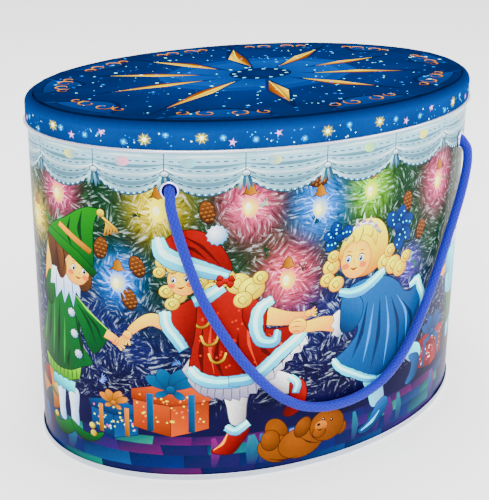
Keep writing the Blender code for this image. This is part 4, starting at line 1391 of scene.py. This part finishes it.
def makeLid():
    skirtIn = tin["gap"]
    skirtOut = skirtIn + tin["plate"]
    crest = shoulderZ + lid["shoulder"]
    panel = crest + lid["step"]
    foot = panel - lid["height"]
    centre = (skirtOut - lid["shoulder"], shoulderZ)
    bead = (skirtIn + lid["bead"], foot + lid["bead"])
    meet = math.degrees(math.acos((skirtOut - bead[0]) / lid["bead"]))
    step = centre[0] - lid["step"] / 4
    skirtLow = bead[1] + lid["bead"] * math.sin(math.radians(meet))
    panelEdge = step - tin["plate"]
    strips = wallStrips(skirtLow / mm, shoulderZ / mm, printed["skirtRows"], printed["skirtStrip"])
    skirt = paintedSheet("skirt", strips, wrapped(skirtArt(), girth), skirtGround, (),
                         (-halfTurn, skirtLow / mm), (halfTurn, shoulderZ / mm))
    moveFlat(skirt, lambda co: ontoOval(co[:, 0], co[:, 1] * mm, skirtOut))
    tagSheet(skirt, 1)
    long, short = (halfShort + panelEdge + stretch) / mm, (halfShort + panelEdge) / mm
    rim = [(long * math.sin(t), -short * math.cos(t)) for t in columnTurns[:-1]]
    grid = np.array([(x + 0.01 * math.sin(7 * x + y), y + 0.01 * math.cos(5 * y + x))
                     for x in np.arange(-long, long, 2.0) for y in np.arange(-short, short, 2.0)
                     if (x / long) ** 2 + (y / short) ** 2 < 0.97])
    top = paintedSheet("panel", [(rim, grid)], [(o, p, 0) for o, p in topArt(long, short)], topGround,
                       level=printed["lid"])
    moveFlat(top, lambda co: np.column_stack([co[:, :2] * mm, np.full(len(co), panel)]))
    tagSheet(top, 2)
    shape = bmesh.new()
    shape.from_mesh(skirt)
    shape.from_mesh(top)
    beadArc = arc(bead, lid["bead"], 180, 360 + meet, 16)
    under = [(-lid["inset"], panel - tin["plate"]), (step - lid["step"], panel - tin["plate"]),
             (step - 0.75 * lid["step"], crest - tin["plate"] / 2)]
    inside = under + arc(centre, lid["shoulder"] - tin["plate"], 90, 0, 8)
    addInto(shape, spunOval(inside + [beadArc[0]], 1))
    addInto(shape, spunOval(beadArc, 1))
    shoulderArc = arc(centre, lid["shoulder"], 0, 90, 10)
    rise = [(step, crest + 0.1 * lid["step"]), (step - 0.0001, crest + 0.35 * lid["step"]),
            (step - 0.0002, crest + 0.7 * lid["step"]), (step - 0.00035, crest + 0.93 * lid["step"]),
            (panelEdge, panel)]
    collar = spunOval(shoulderArc + rise, 0)
    blue = collar.loops.layers.float_color.new("picture")
    flat = collar.loops.layers.uv.new("flat")
    for face in collar.faces:
        for loop in face.loops:
            z = loop.vert.co.z
            # The step's wall between the crest and the panel is painted dark navy: painted shade standing for
            # the dark reflection in the step. The shoulder below it fades from the skirt's blue to a darker
            # blue at the crest.
            edge = z > crest + 0.05 * lid["step"] and z < panel - 1e-5
            level = min(max((z - shoulderZ) / (crest - shoulderZ), 0), 1)
            fade = linear("0c62ae") * (1 - level) + linear("0c3f88") * level * 0.7
            colour = linear("06204c") if edge else fade
            loop[blue] = (*colour, 0)
            loop[flat].uv = (math.atan2(loop.vert.co.x, -loop.vert.co.y), z * 10)
    addInto(shape, collar)
    joinBoundaries(shape)
    bmesh.ops.holes_fill(shape, edges=[e for e in shape.edges if e.is_boundary], sides=0)
    bmesh.ops.recalc_face_normals(shape, faces=shape.faces)
    made = toObject("lidShell", shape, [lidPrint, silverTin])
    setNormals(made, {
        1: lambda co: ovalNormals(co, skirtOut, 0.0),
        2: lambda co: np.tile((0.0, 0.0, 1.0), (len(co), 1)),
    })
    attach(made, "lid")
    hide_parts("lid")


makeLid()


# The eyelets, and the collars that they are rolled over inside
def spunRound(shape, profile, place):
    ring = [shape.verts.new((r, 0, z)) for r, z in profile]
    edges = [shape.edges.new(pair) for pair in zip(ring, ring[1:] + ring[:1])]
    bmesh.ops.spin(shape, geom=ring + edges, axis=(0, 0, 1), cent=(0, 0, 0), angle=math.tau,
                   steps=eyelets["steps"], use_merge=True)
    bmesh.ops.transform(shape, matrix=place, verts=shape.verts)
    bmesh.ops.recalc_face_normals(shape, faces=shape.faces)
    for face in shape.faces:
        face.smooth = True


def makeEyelets():
    bore, barrel, rise, flange = eyelets["bore"], eyelets["barrel"], eyelets["rise"], eyelets["flange"]
    gap, plate = tin["gap"], tin["plate"]
    collarTop = -(plate + 2 * gap)
    rollZ = collarTop - eyelets["collarThick"] - gap
    barrelR = bore + barrel
    dome = arc((bore + flange * 0.52, 0.0005), rise - 0.0005, 12, 168, 12)
    spread = flange * 0.48 / (rise - 0.0005)
    dome = [(bore + flange * 0.52 + (r - bore - flange * 0.52) * spread, z) for r, z in dome]
    roll = arc((barrelR + barrel / 2, rollZ - barrel), barrel, 60, -180, 8)
    for spot, place in places.items():
        shape = bmesh.new()
        profile = ([(barrelR, gap), (bore + flange, gap)] + dome + [(bore, gap)]
                   + [(bore, rollZ - barrel)] + list(reversed(roll[:-1])) + [(barrelR, rollZ)])
        spunRound(shape, profile, place)
        made = toObject("eyelet" + spot.title().replace("_", ""), shape, [chrome])
        collar = bmesh.new()
        inner, low, soft = bore + barrel + gap, collarTop - eyelets["collarThick"], eyelets["collarThick"] / 3
        outer = eyelets["collar"]
        spunRound(collar, [(inner, low), (inner, collarTop)] + arc((outer - soft, collarTop - soft), soft, 90,
            0, 4)
                  + arc((outer - soft, low + soft), soft, 0, -90, 4), place)
        ring = toObject("collar" + spot.title().replace("_", ""), collar, [chrome])
        for piece, node in ((made, "eyelet_" + spot), (ring, "eyelet_collar_" + spot)):
            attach(piece, "root")
            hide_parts(node)


makeEyelets()

# The cord: its route from the left eyelet to the right one, and its weave
cord = {
    "radius": 0.0024, "ring": 40, "pitch": 0.00045, "plaits": 8, "weaveLength": 0.0029, "depth": 0.00026,
    "knotReach": 0.0033,
    "route": [
        (-0.0839, -0.0620, 0.1417), (-0.0846, -0.0633, 0.1395), (-0.0845, -0.0641, 0.1362),
        (-0.0835, -0.0648, 0.1310), (-0.0817, -0.0655, 0.1240), (-0.0792, -0.0664, 0.1150),
        (-0.0761, -0.0675, 0.1050), (-0.0724, -0.0690, 0.0945), (-0.0677, -0.0711, 0.0840),
        (-0.0618, -0.0738, 0.0728), (-0.0548, -0.0766, 0.0615), (-0.0466, -0.0794, 0.0508),
        (-0.0374, -0.0819, 0.0415), (-0.0271, -0.0839, 0.0351), (-0.0161, -0.0852, 0.0319),
        (-0.0049, -0.0858, 0.0311), (0.0063, -0.0857, 0.0320), (0.0172, -0.0850, 0.0349),
        (0.0272, -0.0837, 0.0401), (0.0363, -0.0819, 0.0478), (0.0444, -0.0799, 0.0576),
        (0.0520, -0.0775, 0.0685), (0.0592, -0.0749, 0.0800), (0.0661, -0.0720, 0.0915),
        (0.0726, -0.0693, 0.1028), (0.0782, -0.0672, 0.1138), (0.0821, -0.0657, 0.1240),
        (0.0841, -0.0647, 0.1320), (0.0846, -0.0640, 0.1364), (0.0846, -0.0632, 0.1396),
        (0.0839, -0.0620, 0.1417),
    ],
}


knot = {"round": 0.0034, "swell": 0.0016, "tube": 0.00185, "half": 0.0027, "deep": 0.0048}


def evenly(points, spacing):
    dense = smoothLine(points, False, 24)
    steps = np.concatenate([[0], np.cumsum(np.linalg.norm(np.diff(dense, axis=0), axis=1))])
    count = max(int(round(steps[-1] / spacing)), 4)
    at = np.linspace(0, steps[-1], count + 1)
    return np.column_stack([np.interp(at, steps, dense[:, k]) for k in range(3)]), steps[-1]


def weaveHeight(across, along):
    a, b = across + along, across - along
    overA = (np.floor(a) + np.floor(b)) % 2 == 0
    strandA = np.sin(math.pi * (a - np.floor(a)))
    strandB = np.sin(math.pi * (b - np.floor(b)))
    humpA = np.sqrt(np.clip(strandA, 0, 1)) * (0.55 + 0.45 * strandB)
    humpB = np.sqrt(np.clip(strandB, 0, 1)) * (0.55 + 0.45 * strandA)
    return np.where(overA, humpA, humpB)


# A braided tube: rings of points along the route, each point raised by the strand that crosses it
def braidedTube(name, points, radius, spacing, taper=0.0):
    centres, length = evenly(points, spacing)
    tangents = np.gradient(centres, axis=0)
    tangents /= np.linalg.norm(tangents, axis=1)[:, None]
    side = Vector(tangents[0]).orthogonal().normalized()
    shape = bmesh.new()
    weave = shape.verts.layers.float.new("weave")
    flat = shape.loops.layers.uv.new("flat")
    count = cord["ring"]
    angles = np.linspace(0, math.tau, count, endpoint=False)
    rings = []
    for i, (centre, tangent) in enumerate(zip(centres, tangents)):
        side = (side - Vector(tangent) * side.dot(Vector(tangent))).normalized()
        other = Vector(tangent).cross(side)
        along = i * length / (len(centres) - 1)
        height = weaveHeight(angles / math.tau * cord["plaits"], np.full(count, along / cord["weaveLength"]))
        ends = min(along, length - along)
        r = radius * (1 - taper * max(0, 1 - ends / radius) ** 2)
        ring = []
        for angle, h in zip(angles, height):
            reach = r - cord["depth"] * (1 - h)
            outward = side * math.cos(angle) + other * math.sin(angle)
            vert = shape.verts.new(Vector(centre) + outward * reach)
            vert[weave] = h
            ring.append(vert)
        rings.append(ring)
    for i, (before, after) in enumerate(zip(rings, rings[1:])):
        for j in range(count):
            k = (j + 1) % count
            face = shape.faces.new((before[j], before[k], after[k], after[j]))
            face.smooth = True
            spots = ((j, i), (j + 1, i), (j + 1, i + 1), (j, i + 1))
            for loop, (u, v) in zip(face.loops, spots):
                loop[flat].uv = (u / count * math.tau * radius * 100, v * spacing * 100)
    for ring in (rings[0], rings[-1]):
        shape.faces.new(ring)
    bmesh.ops.recalc_face_normals(shape, faces=shape.faces)
    return toObject(name, shape, [braid]), centres, length


def makeKnot(hand, place):
    reach = cord["knotReach"] + tin["gap"]
    size = knot
    loop = []
    for i in range(36):
        t = math.tau * i / 36
        r = size["round"] * 0.62 + size["swell"] * math.cos(3 * t)
        loop.append((r * math.cos(2 * t), r * math.sin(2 * t), size["half"] * math.sin(3 * t)))
    centre = Vector((0, 0, -reach - size["deep"]))
    points = [tuple(place @ (centre + Vector(p))) for p in loop[2:-1]]
    made, _, _ = braidedTube("knot" + hand.title(), points, size["tube"], 0.0006, 0.5)
    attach(made, "root")
    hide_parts("cord_knot_" + hand)
    return made


def makeCord():
    left, right = places["front_left"], places["front_right"]
    inside = -cord["knotReach"]
    start = [tuple(left @ Vector((0, 0, d))) for d in (inside, inside * 0.5, 0.0, 0.0009)]
    end = [tuple(right @ Vector((0, 0, d))) for d in (0.0009, 0.0, inside * 0.5, inside)]
    points = start + cord["route"] + end
    knots = [makeKnot("left", left), makeKnot("right", right)]
    made, centres, length = braidedTube("handleCord", points, cord["radius"], cord["pitch"])
    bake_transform(made)
    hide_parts("cord_handle", "cord_tail_left", "cord_tail_right")
    print("cord length", round(length, 4))


makeCord()


# Floor and light
studio = {
    "floor": "f0f0ee", "world": 2.2,
    "key": ((-0.55, -0.9, 0.95), 0.9, 26.0), "fill": ((0.9, -0.7, 0.6), 0.9, 14.0), "top": ((0.1, 0.3, 1.3),
        1.0, 14.0),
}


def makeStudio():
    shape = bmesh.new()
    bmesh.ops.create_grid(shape, x_segments=1, y_segments=1, size=4)
    mesh = bpy.data.meshes.new("floor")
    shape.to_mesh(mesh)
    shape.free()
    floor = bpy.data.objects.new("floor", mesh)
    bpy.context.scene.collection.objects.link(floor)
    paint, _, _, _ = newMaterial("floorPaint", studio["floor"], 0.9, 0.0)
    mesh.materials.append(paint)
    world = bpy.data.worlds.new("world")
    bpy.context.scene.world = world
    world.use_nodes = True
    world.node_tree.nodes["Background"].inputs["Color"].default_value = (1, 1, 1, 1)
    world.node_tree.nodes["Background"].inputs["Strength"].default_value = studio["world"]
    for name in ("key", "fill", "top"):
        where, size, power = studio[name]
        data = bpy.data.lights.new(name, "AREA")
        data.size = size
        data.energy = power
        lamp = bpy.data.objects.new(name, data)
        lamp.location = where
        lamp.rotation_euler = (Vector((0, 0, 0.08)) - Vector(where)).to_track_quat("-Z", "Y").to_euler()
        bpy.context.scene.collection.objects.link(lamp)


makeStudio()
